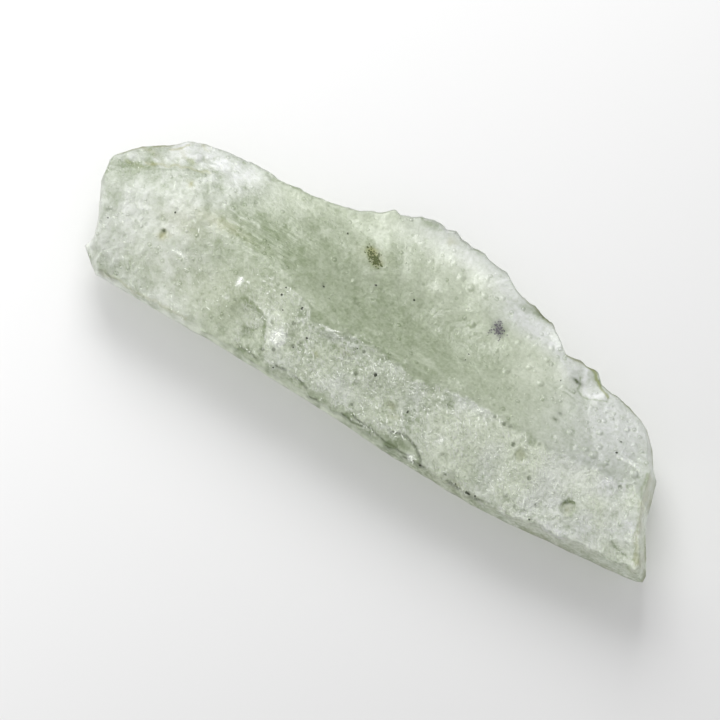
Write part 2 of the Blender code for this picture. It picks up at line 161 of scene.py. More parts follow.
# White flakes, where the glass crazed: (x, y, half length, half width, strength).
WHITE_FLAKES = [
    (-10.4, -7.5, 0.6, 0.7, 3), (-17, -4.3, 0.35, 0.4, 2), (-24.3, -4.8, 0.9, 0.18, 1),
    (-17.5, -6.3, 0.25, 0.22, 0.8), (8.1, -11.6, 0.3, 0.25, 1), (-20.8, -10.5, 0.5, 0.2, 0.7),
    (4.1, -10.2, 0.35, 0.3, 0.7), (10.3, -8.6, 0.4, 0.5, 0.7), (18, -9, 0.35, 0.3, 0.6),
    (29.9, -5.5, 0.5, 0.4, 0.7), (27.8, -3.5, 0.4, 0.2, 0.5), (28.8, -0.5, 1.6, 0.12, 0.6),
    (-6, -4.35, 1.3, 0.14, 0.7), (-2.6, -3.7, 1.5, 0.12, 0.4),
]
# Burst bubbles and blisters: (x, y, radius, depth). A negative depth is a blister.
OPEN_BUBBLES = [
    (25.6, -8.1, 0.85, 0.35), (18.4, -5.7, 0.65, 0.1), (-26.7, -3.8, 0.45, 0.25), (-28, 5.9, 0.55, -0.3),
    (24.5, 0.9, 0.36, -0.25), (25.2, -1.8, 0.42, -0.28), (30, -1.4, 0.45, -0.3), (21.8, -0.7, 0.36, -0.2),
    (22.8, -2.1, 0.26, 0.2), (15.6, 5.2, 0.3, -0.2), (16.3, 2.5, 0.36, -0.22), (17.5, 1.2, 0.3, -0.2),
    (12.5, 1.8, 0.36, -0.2), (4.5, 8.1, 0.42, -0.28), (3.1, 8.7, 0.38, -0.28), (6.3, 8.1, 0.3, -0.2),
    (24.2, -1.6, 0.28, -0.2), (25.3, -0.6, 0.3, -0.2), (11.2, -9.8, 0.35, 0.15), (19.3, -10.3, 0.3, 0.15),
    (21.7, -10.9, 0.36, 0.15), (3.6, -7.9, 0.35, 0.15), (4.7, -8.6, 0.4, 0.15), (-0.7, -7.6, 0.3, 0.15),
    (-7.9, -7, 0.3, 0.15), (-13.6, -8.6, 0.6, 0.15), (9.3, -4.7, 0.3, 0.15), (15.4, 6.6, 0.26, -0.18),
    (26.9, 2.7, 0.25, -0.18), (30.3, -2.9, 0.35, 0.15), (6.7, 4.5, 0.36, -0.2), (-6.6, 2.1, 0.3, -0.15),
    (-5.2, 0.3, 0.35, 0.15), (14.4, 3.4, 0.25, -0.15), (12, 5.3, 0.24, -0.15), (9.7, 7.6, 0.24, 0.15),
    (24.3, 2.3, 0.22, -0.15), (22.3, 3, 0.2, -0.12), (26.8, -1.9, 0.22, -0.15), (23.3, 0.4, 0.18, -0.12),
    (12.7, 6.6, 0.28, -0.2), (13.6, 4.6, 0.2, -0.15), (10.6, 6.9, 0.2, -0.15), (8.1, 8.9, 0.24, -0.18),
    (1.6, 9.6, 0.24, -0.18), (-0.6, 8.6, 0.26, -0.18), (-2.4, 9.8, 0.22, -0.15), (5.6, 9.9, 0.2, -0.15),
    (10.4, 3.2, 0.24, -0.15), (18.6, 3.3, 0.2, -0.15), (20.5, -2.2, 0.2, 0.12), (28.4, 1.6, 0.2, -0.15),
]

# How pale the glass looks, in soft clouds and in small stains with ragged edges, then where it is
# stained olive: (x, y, half length, half width, change).
CLOUDS = [
    (-1, 0.2, 13, 5.2, -0.27),  # the deep green heart of the scoop
    (-12, 4.5, 6, 3, -0.12), (-18, 1.6, 6, 3.4, -0.3),
    (-28, -0.2, 4.8, 3.6, 0.16),  # the pale, bubbly left end
    (-27, 6.2, 8.5, 1.4, 0.15),
    (1.5, 10.6, 9.5, 2.2, 0.4),  # the thin back margin
    (1, 6, 6.5, 1.8, 0.18), (14, 7.6, 6, 2.6, 0.32), (26, 2, 6.5, 4, 0.36), (15.5, 3.4, 4.5, 3, 0.15),
    (18, -1.4, 6, 2, 0.14), (26, -5.6, 8, 2.6, 0.2), (-21, -4.6, 5, 3.6, -0.05),
    (34, -9.6, 1.9, 1.5, -0.1),
    (-6.9, -3.6, 1.4, 0.45, -0.08),  # deep green just behind the ledge
    (3.8, -3.7, 1.5, 0.3, -0.08),
    (-33.9, -8.3, 1, 1, 0.6),  # the thin splinter
    (-1, -5.6, 6, 2.6, -0.2), (6.5, -8.7, 1.8, 2.2, -0.4), (10.2, 2.5, 2.4, 2.6, -0.05),
    (22.2, -1, 2.5, 2, -0.15), (-16, 0.8, 4, 3, -0.18), (-7.7, -7.3, 2.6, 1.8, -0.18),
    (-31, 2, 2.6, 2, -0.2), (-25.8, -4.5, 2, 3, 0.25), (-19, -10.2, 5, 0.9, 0.25),
    (14.2, -6.6, 2, 1.6, 0.2), (-31, -5.6, 3, 2.6, 0.3), (-19, -6.4, 8, 4, -0.03),
    (-9.6, -4.2, 1.6, 1.3, -0.35), (-9.8, -8, 1.6, 1.4, 0.1), (-4, 6.6, 3, 1.6, -0.25),
    (10.3, -8.8, 1.8, 1.8, 0.25), (14.2, 3, 2, 2, 0.25), (18, 4.5, 1.6, 1.4, 0.2),
    (-23.5, 6.6, 4.5, 1.2, 0.25), (-33.8, 0.4, 1.2, 1.4, -0.35), (-29.7, -5.8, 1.6, 1.6, -0.25),
    (-25.7, -5.8, 1.6, 1.6, 0.2),
]
STAINS = [
    (12.6, 9.3, 2.2, 0.45, -0.5),  # chips along the back edge
    (22.6, 6, 2.2, 0.3, -0.2), (-2.4, 12.1, 1.4, 0.25, -0.4), (2.8, 12, 0.9, 0.2, -0.4),
    (-19.9, 7.9, 0.6, 0.2, -0.4), (-14, 8.4, 3.6, 0.25, -0.25),
    (-32.2, 1.6, 2.4, 0.7, -0.22),  # the green strip inside the bevel
    (-13.7, -8.6, 0.8, 0.7, -0.15),  # hollows of the frosted face
    (18.3, -3.9, 1, 0.6, -0.25), (-10.2, -2.3, 2, 0.8, 0.1), (5, -2.2, 1.4, 0.2, 0.25),
    (6.2, -11.3, 0.7, 0.6, -0.3),
]
OLIVE_STAINS = [
    (-27, 2.5, 0.45, 0.4, 1), (-26.8, -3.9, 0.55, 0.5, 1), (-25.4, -1.6, 3, 1.4, 0.3),
    (-6.3, 5.8, 1.7, 1, 0.25), (-6, -7.1, 0.4, 0.35, 0.6), (3.6, -7.9, 0.45, 0.35, 0.5),
    (4.7, -8.6, 0.6, 0.35, 0.45), (-3.3, -5.4, 0.7, 0.4, 0.3), (0.1, 11.6, 0.7, 0.5, 0.45),
    (-29.6, 5.4, 0.5, 0.5, 0.4), (-21.6, 0.2, 3.4, 0.5, 0.3), (18.4, -5.75, 0.6, 0.6, 0.35),
    (35, -9.3, 0.5, 1.6, 0.3), (32.6, -1.4, 0.3, 2, 0.4), (14, -11.7, 0.6, 0.4, 0.4),
    (-22, -6.5, 8, 3.5, 0.15), (-22, 0.5, 3, 1.2, 0.2), (25.6, -8.2, 0.6, 0.6, 0.45),
    (-33, 3.9, 1.6, 0.3, 0.3), (-28.2, 7.2, 0.6, 0.15, 0.6),
]
# Soft lines, such as ridges, scratches, drawn-out streaks and painted shade on the wall of a pit: (points,
# half width, change).
LINES = [
    ([(-6.7, 6.1), (-5.5, 5.2)], 0.55, -0.8),  # under the olive nest, then under the violet one
    ([(9.2, 5.7), (10, 5.5)], 0.5, -0.4),
    ([(-31.3, 2.2), (-28.8, 3.4), (-26.8, 4.7), (-25.3, 5.4)], 0.16, -0.25),
    ([(31.2, -0.7), (31.5, -2.5), (32.2, -4.5), (33, -6.2), (33.8, -7.9), (34.8, -9.9)], 0.16, -0.35),
    ([(31.5, -9), (32.5, -9.35), (33.9, -9.55)], 0.12, -0.6),
    # The next line is painted shade on the wall of the large pit, on the side turned from the light.
    ([(25.9, -7.4), (25.2, -7.4), (24.85, -7.95)], 0.11, -0.7),  # the wall of the large pit
    ([(19.6, 5.3), (20.2, 4), (21.1, 3.55), (22.4, 4.1), (23.4, 4.5)], 0.1, -0.5),  # round the notch
    ([(19.6, 6.5), (20.3, 4.9), (20.9, 4.2), (21.5, 4.1), (22.6, 4.8)], 0.25, 0.3),
    ([(19.3, 7.1), (20.2, 6.8), (21, 6.2), (22.1, 5.6), (23.3, 5)], 0.16, -0.6),
    ([(18.8, 2.85), (20.4, 2.85)], 0.08, -0.3), ([(18.9, 3.35), (19.9, 3.4)], 0.08, -0.25),
    ([(18.6, 3.1), (20.2, 3.12)], 0.08, 0.25), ([(5, -10.1), (6.7, -9.55), (8.4, -10.1)], 0.15, 0.25),
    ([(-15.7, -5.65), (-12.7, -6.35), (-11.7, -8.35), (-11.5, -9.8)], 0.25, -0.45),
    ([(-15.5, -5.3), (-12.4, -6), (-11.3, -8.3)], 0.16, 0.3), ([(-5.7, -4.85), (-4.7, -8.35)], 0.08, 0.3),
    ([(-1.7, -6.85), (-0.7, -9.85)], 0.08, 0.25), ([(-9.2, -4.6), (-7.6, -7.4)], 0.08, 0.25),
    ([(4, -6.2), (5.4, -9.4)], 0.08, 0.2), ([(-6.2, -4.35), (-4.7, -3.75)], 0.1, 0.6),
    ([(-21.8, 2.2), (-18.3, 2.2)], 0.12, 0.3), ([(-21.8, 1.1), (-19.8, 1.2)], 0.12, 0.35),
    ([(-17.6, 2.9), (-14.2, 2.95)], 0.1, 0.2), ([(27.4, -0.6), (30, -0.55)], 0.08, 0.4),
    ([(27.7, -0.3), (29.8, -0.2)], 0.06, 0.3), ([(-2.8, -2), (-1.1, -1.7)], 0.22, 0.2),
    ([(3.5, -1.8), (5.4, -1.6)], 0.25, 0.25), ([(23.6, -10.95), (27, -10.6), (31, -10.5)], 0.15, 0.2),
]
CHIP_EDGES = [
    ([(5.1, -10.3), (6, -10), (6.9, -9.95), (8.1, -10.4), (9.2, -11.2), (9.6, -11.9)], 0.14, 0.9),
]
VIOLET_LINES = [([(9.2, 6.0), (9.6, 5.3)], 0.6, 0.75), ([(8.7, 4.6), (8.9, 4.95)], 0.15, 0.4)]
OLIVE_LINES = [
    ([(19.3, 7.1), (20.2, 6.8), (21, 6.2), (22.1, 5.6), (23.3, 5)], 0.16, 0.6),
    ([(-6.7, 6.1), (-5.5, 5.2)], 0.5, 0.8),  # glass stained by the olive nest
    ([(-32.4, 2.5), (-29.4, 3.7), (-26, 4.8)], 0.16, 0.6), ([(-31.2, 5.3), (-29.6, 6.6)], 0.14, 0.8),
    ([(31.6, -1), (32.6, -4.5), (33.8, -7.6), (34.9, -9.6)], 0.3, 0.5),
    ([(-30.8, -10.2), (-26, -10.4), (-20, -10.4)], 0.15, 0.4),
    ([(8, -11.9), (16, -12.1), (24, -11.5), (31, -10.9)], 0.3, 0.12),
]
# Dark green spots, where a bubble or a chip shows the full depth of the glass: (x, y, half length, half
# width, strength), and cracks inside the front edge: (how far in they run, seed of their path).
DARK_SPOTS = [
    (19.6, 4.75, 0.65, 0.22, 0.8), (19.5, 4.85, 0.22, 0.14, 0.6), (19.7, -0.25, 0.3, 0.2, 0.8),
    (19.7, 0.55, 0.26, 0.17, 0.7), (15.9, -3.55, 0.22, 0.14, 0.8), (19.7, -3.6, 0.15, 0.17, 0.7),
    (26.9, 1.15, 0.32, 0.1, 0.5), (19.3, -10.3, 0.25, 0.2, 0.5), (22.7, -11.2, 0.5, 0.18, 0.5),
    (-13.6, -8.6, 0.5, 0.45, 0.12), (-5.4, -4.95, 0.5, 0.18, 0.5), (-8, -6.95, 0.28, 0.2, 0.5),
    (-8.6, -7.6, 0.25, 0.18, 0.6), (-0.7, -7.65, 0.26, 0.22, 0.55), (-3.3, -5.5, 0.2, 0.15, 0.4),
    (3.7, -7.85, 0.3, 0.2, 0.5), (9.2, -4.85, 0.38, 0.2, 0.5), (-11.7, -4.75, 0.25, 0.2, 0.5),
    (7.9, 0.3, 0.25, 0.2, 0.4), (-2.6, -4.7, 0.2, 0.15, 0.5), (5.6, -6.1, 0.3, 0.12, 0.3),
    (11.2, -9.75, 0.28, 0.12, 0.8), (15.2, -12, 0.7, 0.2, 0.6), (-27, -3.5, 0.3, 0.16, 1.2),
    (24.1, 5.55, 0.25, 0.1, 0.6), (-29.8, -10.3, 0.7, 0.08, 0.6), (-9.2, -0.1, 0.3, 0.3, 0.4),
    (16.4, -12, 0.4, 0.25, 0.5), (13.1, -10.9, 0.4, 0.3, 0.3), (10, -12, 0.5, 0.15, 0.4),
    (-5, 0.1, 0.45, 0.16, 0.3), (12.3, 9.3, 0.8, 0.18, 0.4), (25.3, -8.5, 0.5, 0.12, 0.3),
    (25.2, -7.55, 0.32, 0.12, 0.7), (21.7, -10.75, 0.25, 0.2, 0.35), (-20.5, 7.9, 0.3, 0.12, 0.4),
]
CRACKS, CRACK_HALF_WIDTH = [(0.75, 83), (0.4, 104), (1.15, 105)], 0.13


def along(points, x):
    """The second value of a list of pairs at each x, straight between the pairs."""
    table = np.array(points, dtype=float)
    return np.interp(x, table[:, 0], table[:, 1])


def softly(points, x, reach):
    """The value along a list of pairs, averaged over reach to either side of each x."""
    return np.mean([along(points, x + offset) for offset in np.linspace(-reach, reach, 9)], axis=0)


def spaced(points, t):
    """Points along a polyline, with t running from 0 to 1 over its length."""
    table = np.array(points, dtype=float)
    length = np.concatenate([[0], np.cumsum(np.hypot(*np.diff(table, axis=0).T))])
    return np.stack([np.interp(t * length[-1], length, table[:, k]) for k in (0, 1)], axis=-1)


def edge_points(edge, s):
    """Points on an edge, with s running from 0 to 1 over its x."""
    x = edge[0][0] + s * (edge[-1][0] - edge[0][0])
    return np.stack([x, along(edge, x)], axis=-1)


def outline_patch(s, w):
    """The plan point for s along the chunk and w across it: a Coons patch between the four edges, which
    adds the blend of front and back to the blend of left and right and takes the corners' blend off."""
    s, w = np.broadcast_arrays(s, w)
    front, back = edge_points(FRONT_EDGE, s), edge_points(BACK_EDGE, s)
    left, right = spaced(LEFT_END, w), spaced(RIGHT_END, w)
    s, w = s[..., None], w[..., None]
    corners = (
        (1 - s) * (1 - w) * np.array(FRONT_EDGE[0]) + s * (1 - w) * np.array(FRONT_EDGE[-1])
        + (1 - s) * w * np.array(BACK_EDGE[0]) + s * w * np.array(BACK_EDGE[-1])
    )
    return (1 - w) * front + w * back + (1 - s) * left + s * right - corners


def first_crossing(s, height):
    """For each column s, the w at which height(point) first rises through zero."""
    w = np.linspace(0, 1, LINE_SAMPLES)
    values = height(outline_patch(s[:, None], w[None, :]))
    index = np.clip(np.argmax(values > 0, axis=1), 1, LINE_SAMPLES - 1)
    columns = np.arange(len(s))
    before, after = values[columns, index - 1], values[columns, index]
    return w[index - 1] + (w[1] - w[0]) * np.clip(before / (before - after), 0, 1)


def scarred(z, x, y, scars, sign):
    """z with each scar taken out of it: an oval bowl, deepest at its middle, that runs out softly."""
    for cx, cy, half_length, half_width, depth in scars:
        inside = 1 - ((x - cx) / half_length) ** 2 - ((y - cy) / half_width) ** 2
        z = z - sign * depth * np.clip(inside, 0, None) ** 1.5
    return z


def unevenness(x, y):
    """A sum of plane waves that cross each other, so that no lump repeats."""
    total = 0.0
    for wavelength, direction, share in WAVES:
        angle = np.radians(direction)
        phase = (x * np.cos(angle) + y * np.sin(angle)) / wavelength
        total = total + share * np.sin(2 * np.pi * phase + wavelength * np.sin(phase))
    return total


def rows_between(start, end, count):
    """count evenly spaced rows after start, the last of them at end, for every column."""
    return start + (end - start) * np.arange(1, count + 1) / count


def soft_step(value, low, high):
    """0 below low, 1 above high and a smooth S between them."""
    t = np.clip((value - low) / (high - low), 0, 1)
    return t * t * (3 - 2 * t)


def between(value, start, full, falling, end):
    """A smooth plateau: 0 before start, 1 from full to falling and 0 after end."""
    return soft_step(value, start, full) * soft_step(-value, -end, -falling)


def bell(distance, width):
    """A bell curve, exp(-(distance / width)^2): 1 at distance 0 and nearly 0 beyond twice the width."""
    return np.exp(-((distance / width) ** 2))


LATTICE = 256  # random tables repeat after this many cells


def value_noise(x, y, size, seed):
    """Random heights from -1 to 1 on a square lattice of the given size, with a smooth S between them."""
    table = np.random.default_rng(seed).uniform(-1, 1, (LATTICE, LATTICE))
    gx, gy = x / size, y / size
    ix, iy = np.floor(gx).astype(int), np.floor(gy).astype(int)
    fx, fy = soft_step(gx - ix, 0, 1), soft_step(gy - iy, 0, 1)
    left, right, low, high = ix % LATTICE, (ix + 1) % LATTICE, iy % LATTICE, (iy + 1) % LATTICE
    below = table[left, low] * (1 - fx) + table[right, low] * fx
    above = table[left, high] * (1 - fx) + table[right, high] * fx
    return below * (1 - fy) + above * fy


def cloud(x, y, size, seed, octaves=4):
    """Value noise summed over octaves, each half the size and half the height of the one before."""
    return sum(value_noise(x + 7.3 * k, y - 3.1 * k, size / 2**k, seed + k) / 2**k for k in range(octaves))


def crumbs(x, y, size, tilt, seed):
    """Granules: the plane is shared out between jittered lattice points, each taking what is nearest to
    it, and every share is a small facet with a height and a slope of its own."""
    rng = np.random.default_rng(seed)
    jitter = rng.uniform(0, 1, (LATTICE, LATTICE, 2))
    facet = rng.normal(0, 1, (LATTICE, LATTICE, 3))
    gx, gy = x / size, y / size
    ix, iy = np.floor(gx).astype(int), np.floor(gy).astype(int)
    nearest, height = np.full(x.shape, np.inf), np.zeros(x.shape)
    for dx in (-1, 0, 1):
        for dy in (-1, 0, 1):
            cx, cy = ix + dx, iy + dy
            place, own = jitter[cx % LATTICE, cy % LATTICE], facet[cx % LATTICE, cy % LATTICE]
            away_x, away_y = gx - cx - place[..., 0], gy - cy - place[..., 1]
            distance = np.hypot(away_x, away_y)
            raised = own[..., 0] * 0.35 + tilt * (own[..., 1] * away_x + own[..., 2] * away_y)
            height = np.where(distance < nearest, raised, height)
            nearest = np.minimum(nearest, distance)
    return height


def bubbled(z, x, y, bubbles):
    """z with burst bubbles and blisters, each a round bowl or dome, sqrt(1 - r^2), with a faint lip."""
    for cx, cy, radius, depth in bubbles:
        r = np.hypot(x - cx, y - cy) / radius
        lip = 0.12 * bell(r - 1.12, 0.16)
        z = z + 0.65 * depth * (lip - np.sqrt(np.clip(1 - r * r, 0, 1)))
    return z


def painted_bubble_wall_shade(x, y, bubbles):
    """Where painted shade darkens each bubble: 1 on its wall, just inside its edge, and 0 away from it."""
    radii = [np.hypot(x - cx, y - cy) / radius for cx, cy, radius, _ in bubbles]
    return np.max([bell(r - 0.95, 0.3) for r in radii], axis=0)


def ovals(x, y, listed, raggedness=0.0):
    """The sum of soft ovals, each exp(-(dx/a)^2 - (dy/b)^2) of its own height, with noise-bent edges."""
    bend_x, bend_y = raggedness * cloud(x, y, 0.7, 61, 2), raggedness * cloud(x, y, 0.7, 71, 2)
    total = np.zeros(np.shape(x))
    for cx, cy, half_length, half_width, height in listed:
        away = ((x + bend_x - cx) / half_length) ** 2 + ((y + bend_y - cy) / half_width) ** 2
        total = total + height * np.exp(-away)
    return total


def lines(x, y, listed, raggedness=0.0):
    """The sum of soft lines, each a bell of its own height over its half width, on noise-bent paths."""
    x = x + raggedness * cloud(x, y, 0.8, 63, 2)
    y = y + raggedness * cloud(x, y, 0.8, 73, 2)
    total = np.zeros(np.shape(x))
    for points, half_width, height in listed:
        away = np.full(np.shape(x), np.inf)
        for (ax, ay), (bx, by) in zip(points[:-1], points[1:]):
            share = ((x - ax) * (bx - ax) + (y - ay) * (by - ay)) / ((bx - ax) ** 2 + (by - ay) ** 2)
            share = np.clip(share, 0, 1)
            away = np.minimum(away, np.hypot(x - ax - share * (bx - ax), y - ay - share * (by - ay)))
        total = total + height * bell(away, half_width)
    return total


def behind_crest(points):
    """How far each plan point lies behind the crest, whose line is a little ragged."""
    x = points[..., 0]
    return points[..., 1] - along(CREST, x) - 0.22 * cloud(x, 0 * x, 1.7, 97, 3)


def behind_rim(points):
    """How far each plan point lies behind the front rim, which is chipped along its whole length."""
    x = points[..., 0]
    chipped = np.clip(0.2 * cloud(x, 0 * x, 0.9, 99, 3), -0.2, 0.5)
    return points[..., 1] - along(FRONT_EDGE, x) - along(BAND_WIDTH, x) - chipped


def plan_grid():
    """Where each vertex of the top lies: its plan point, its w across the chunk, how far it is in from
    each edge, and the share of the front band, face, riser and scoop that it has crossed."""
    t = np.linspace(0, 1, COLUMNS)
    s = 0.25 * (0.5 - 0.5 * np.cos(np.pi * t)) + 0.75 * t
    front, back = np.zeros((COLUMNS, 1)), np.ones((COLUMNS, 1))
    rim = first_crossing(s, behind_rim)[:, None]
    foot = first_crossing(s, lambda points: behind_crest(points) + RISER_RUN)[:, None]
    crest = first_crossing(s, behind_crest)[:, None]
    marks = [front, rim, foot, crest, back]
    strips = zip(marks, marks[1:], (BAND_ROWS, FACE_ROWS, RISER_ROWS, SCOOP_ROWS))
    w = np.hstack([front, *(rows_between(*strip) for strip in strips)])
    x, y = np.moveaxis(outline_patch(s[:, None], w), -1, 0)
    width = np.hypot(x[:, -1:] - x[:, :1], y[:, -1:] - y[:, :1])
    front, back = w * width, (1 - w) * width
    left, right = x - outline_patch(0.0, w)[..., 0], outline_patch(1.0, w)[..., 0] - x
    crest_line, back_line = softly(CREST, x, LINE_REACH), softly(BACK_EDGE, x, LINE_REACH)
    rim_line = along(FRONT_EDGE, x) + along(BAND_WIDTH, x)
    on_band = np.clip(w / rim, 0, 1)
    rim_drop = softly(RIM_HEIGHT, x, PROFILE_REACH) - softly(FRONT_HEIGHT, x, PROFILE_REACH)
    return SimpleNamespace(
        x=x, y=y, w=w, front=front, back=back, left=left, right=right,
        inset=np.minimum(np.minimum(front, back), np.minimum(left, right)),
        on_band=on_band,
        band_drop=rim_drop * (1 - on_band),  # how far the steep band has fallen below the rim
        on_face=np.clip((y - rim_line) / (crest_line - rim_line), 0, 1),
        on_riser=np.clip((w - foot) / (crest - foot), 0, 1),
        on_scoop=np.clip((y - crest_line) / (back_line - crest_line), 0, 1),
    )


def skin_zones(at):
    """How the glass broke at each point of the top, mostly as shares from 0 to 1: where it is frosted by
    fine bubbles, drawn out in striae, crazed to white flakes, chipped smooth, lumpy or pebbly."""
    x, y = at.x, at.y
    ragged = cloud(x, y, 1.1, 31)
    before_crest = soft_step(along(CREST, x) - y + 0.35 * ragged, 0.0, 0.5)
    at_left = soft_step(-x + 3.0 * ragged, 9.0, 19.0)
    striae = between(x, -26, -22, -13, -9) * between(y, -1.6, -0.4, 3.4, 4.6)
    rim_zone = soft_step(1.3 + 0.9 * cloud(x, y, 1.6, 85, 2) - at.front, 0.0, 0.7)
    rim_zone = rim_zone * between(x, -20, -14, 9, 13)
    windows = sum(
        share * soft_step(radius - np.hypot(x - cx, y - cy), -0.1, 0.12) for cx, cy, radius, share in WINDOWS
    )
    chip = ovals(x, y, CHIPS)
    frost = before_crest * (1 - at_left) + at_left * (0.36 - 0.3 * striae)
    frost = frost * soft_step(at.on_band + 0.2 * ragged, 0.5, 1.0)
    frost = frost * (1 - 0.75 * rim_zone) * (1 - np.clip(windows + chip, 0, 0.9))
    pebbles = np.maximum(ovals(x, y, PEBBLES), 0.4 * soft_step(-x, 19, 24)) * cloud(x, y, PEBBLE_SIZE, 41, 2)
    return SimpleNamespace(
        ragged=ragged, before_crest=before_crest, at_left=at_left, striae=striae, rim_zone=rim_zone,
        windows=windows, chip=chip, frost=frost, pebbles=pebbles,
        flakes=np.clip(ovals(x, y, WHITE_FLAKES, 0.25), 0, 1),
        lumps=ovals(x, y, BEVEL_LUMPS, 0.2),
    )


def with_end_faces(z, y, left, right):
    """Heights brought down to the end edges, over the plan width of each end face."""
    climb = np.clip(left / along(LEFT_FACE_RUN, y), 0, 1) ** along(LEFT_FACE_BEND, y)
    z = LEFT_EDGE_HEIGHT + (z - LEFT_EDGE_HEIGHT) * climb
    return RIGHT_EDGE_HEIGHT + (z - RIGHT_EDGE_HEIGHT) * np.clip(right / RIGHT_FACE_RUN, 0, 1)


def top_heights(at, skin):
    """Height of the top. Across the chunk it rises from the rim to the crest as a quarter of a sine wave
    and falls behind the crest along a softened power curve. Scars are taken out of it, the relief of
    each kind of skin is laid on it, and the bevel, the end faces and the blunt edges cut it off."""
    x, y, frost = at.x, at.y, skin.frost
    crest_z, foot_drop, rim_z, back_z, soft, power = (
        softly(profile, x, PROFILE_REACH)
        for profile in (CREST_HEIGHT, RISER_HEIGHT, RIM_HEIGHT, BACK_HEIGHT, CREST_ROUNDNESS, SCOOP_POWER)
    )
    eased = (np.hypot(at.on_scoop, soft) - soft) / (np.hypot(1, soft) - soft)
    face = rim_z + (crest_z - foot_drop - rim_z) * np.sin(at.on_face * np.pi / 2) ** 0.9
    scoop = back_z + (crest_z - back_z) * (1 - eased) ** power
    z = face + (scoop - face) * at.on_riser - at.band_drop
    z = scarred(z, x, y, TOP_SCARS, 1)
    rough = FACE_UNEVENNESS + (SCOOP_UNEVENNESS - FACE_UNEVENNESS) * np.clip(2 * at.on_riser, 0, 1)
    z += rough * unevenness(x, y)

    z += frost * FROST_GRANULES[1] * crumbs(x, y, FROST_GRANULES[0], 0.8, 11)
    z += frost * FROST_GRAIN[1] * cloud(x, y, FROST_GRAIN[0], 12, 2)
    z += frost * FROST_SWELL[1] * cloud(x, y, FROST_SWELL[0], 15, 2)
    z += (1 - frost) * SMOOTH_WAVES[1] * cloud(x, y, SMOOTH_WAVES[0], 21, 3)
    z += skin.flakes * FLAKE_GRANULES[1] * crumbs(x, y, FLAKE_GRANULES[0], 1.0, 13)
    across_striae = (y + STRIAE_SLANT * x + 0.35 * skin.ragged) / STRIAE_SPACING
    z += STRIAE_HEIGHT * skin.striae * np.sin(2 * np.pi * across_striae)
    z = bubbled(z, x, y, OPEN_BUBBLES)

    beyond = (x - BEVEL_POINT[0]) * BEVEL_AWAY[0] + (y - BEVEL_POINT[1]) * BEVEL_AWAY[1]
    bevel = BEVEL_HEIGHT - BEVEL_SLOPE * np.clip(beyond, 0, None) + BEVEL_CLEAR * np.clip(-beyond, 0, None)
    z = np.minimum(z, bevel) + LUMP_HEIGHT * skin.lumps + PEBBLE_HEIGHT * skin.pebbles
    z = with_end_faces(z, y, at.left, at.right)
    outside = 1 - np.clip(at.inset / EDGE_ROUND, 0, 1)
    return z - EDGE_ROUND * (1 - np.sqrt(1 - outside**2))


def underside_heights(at, top):
    """Height of the underside: from the rim it falls at each side's undercut slope, or along the flange's
    parabola at the back, with scars once it is well inside. It keeps a wall below the top and stops at
    the base facet, at 0."""
    x, y = at.x, at.y
    front_z, back_z = softly(FRONT_HEIGHT, x, PROFILE_REACH), softly(BACK_HEIGHT, x, PROFILE_REACH)
    front_rim = with_end_faces(front_z, y, at.left, at.right)[:, :1]
    back_rim = with_end_faces(back_z, y, at.left, at.right)[:, -1:]
    edge = (1 - at.w) * front_rim + at.w * back_rim - EDGE_ROUND
    flange = along(FLANGE_SLOPE, x) * at.back + FLANGE_CURVE * at.back**2
    depth = np.minimum(UNDERCUT_FRONT * at.front, flange)
    depth = np.minimum(depth, np.minimum(UNDERCUT_LEFT * at.left, UNDERCUT_RIGHT * at.right))
    under = edge - depth
    hollowed = scarred(under, x, y, UNDERSIDE_SCARS, -1) + UNDERSIDE_UNEVENNESS * unevenness(y, x)
    under = under + np.clip(depth / SCARS_FROM, 0, 1) * (hollowed - under)
    wall = WALL * np.clip(at.inset / WALL_RUN, 0, 1)
    return np.clip(np.minimum(under, top - wall), 0, None)


def glass_tone(at, skin, painted_lump_shadow):
    """How pale the glass looks, from 0, deep green, to 1: the listed clouds, stains and lines, with frost,
    lumps and the front band paler, and chips, windows, rims and hollows darker. The walls of the bubbles are
    darkened with painted shade, and a painted shadow lies just below each pale lump of the bevel."""
    x, y, frost, at_left = at.x, at.y, skin.frost, skin.at_left
    skin_y = y - at.band_drop  # follows the skin down the steep front
    tone = 0.47 + ovals(x, y, CLOUDS) + ovals(x, y, STAINS, 0.2) + lines(x, y, LINES, 0.12)
    tone += 0.3 * frost * (1 - 0.45 * at_left) + 0.02 * at_left
    tone += (0.04 + 0.06 * at_left + 0.08 * frost) * cloud(x, skin_y, 3.0, 51)
    tone += (0.03 + 0.14 * at_left) * cloud(x, skin_y, 1.1, 53, 2)
    tone += 0.25 * skin.pebbles + 0.3 * skin.lumps - 0.35 * painted_lump_shadow
    tone += 0.12 * skin.chip - 0.35 * skin.windows
    # Painted shade on the wall of each bubble, where the light is turned away.
    tone -= (0.15 + 0.1 * frost) * painted_bubble_wall_shade(x, y, OPEN_BUBBLES)
    on_rim = bell(at.on_face - 0.025, 0.125) * between(x, -24, -14, 12, 17)
    tone -= 0.35 * on_rim * soft_step(cloud(x, y, 0.9, 81, 2), -0.1, 0.5)
    tone -= 0.1 * skin.rim_zone * (1 + 1.2 * cloud(x, y, 0.8, 86, 2)) * at.on_band
    band_tone = 0.16 + 0.3 * soft_step(-x, -9, -4) + 0.45 * cloud(x, skin_y, 0.9, 89, 3)
    tone += band_tone * (1 - at.on_band)
    return tone - (0.08 + 0.17 * soft_step(x, -8, 8)) * bell(at.inset, 0.3)


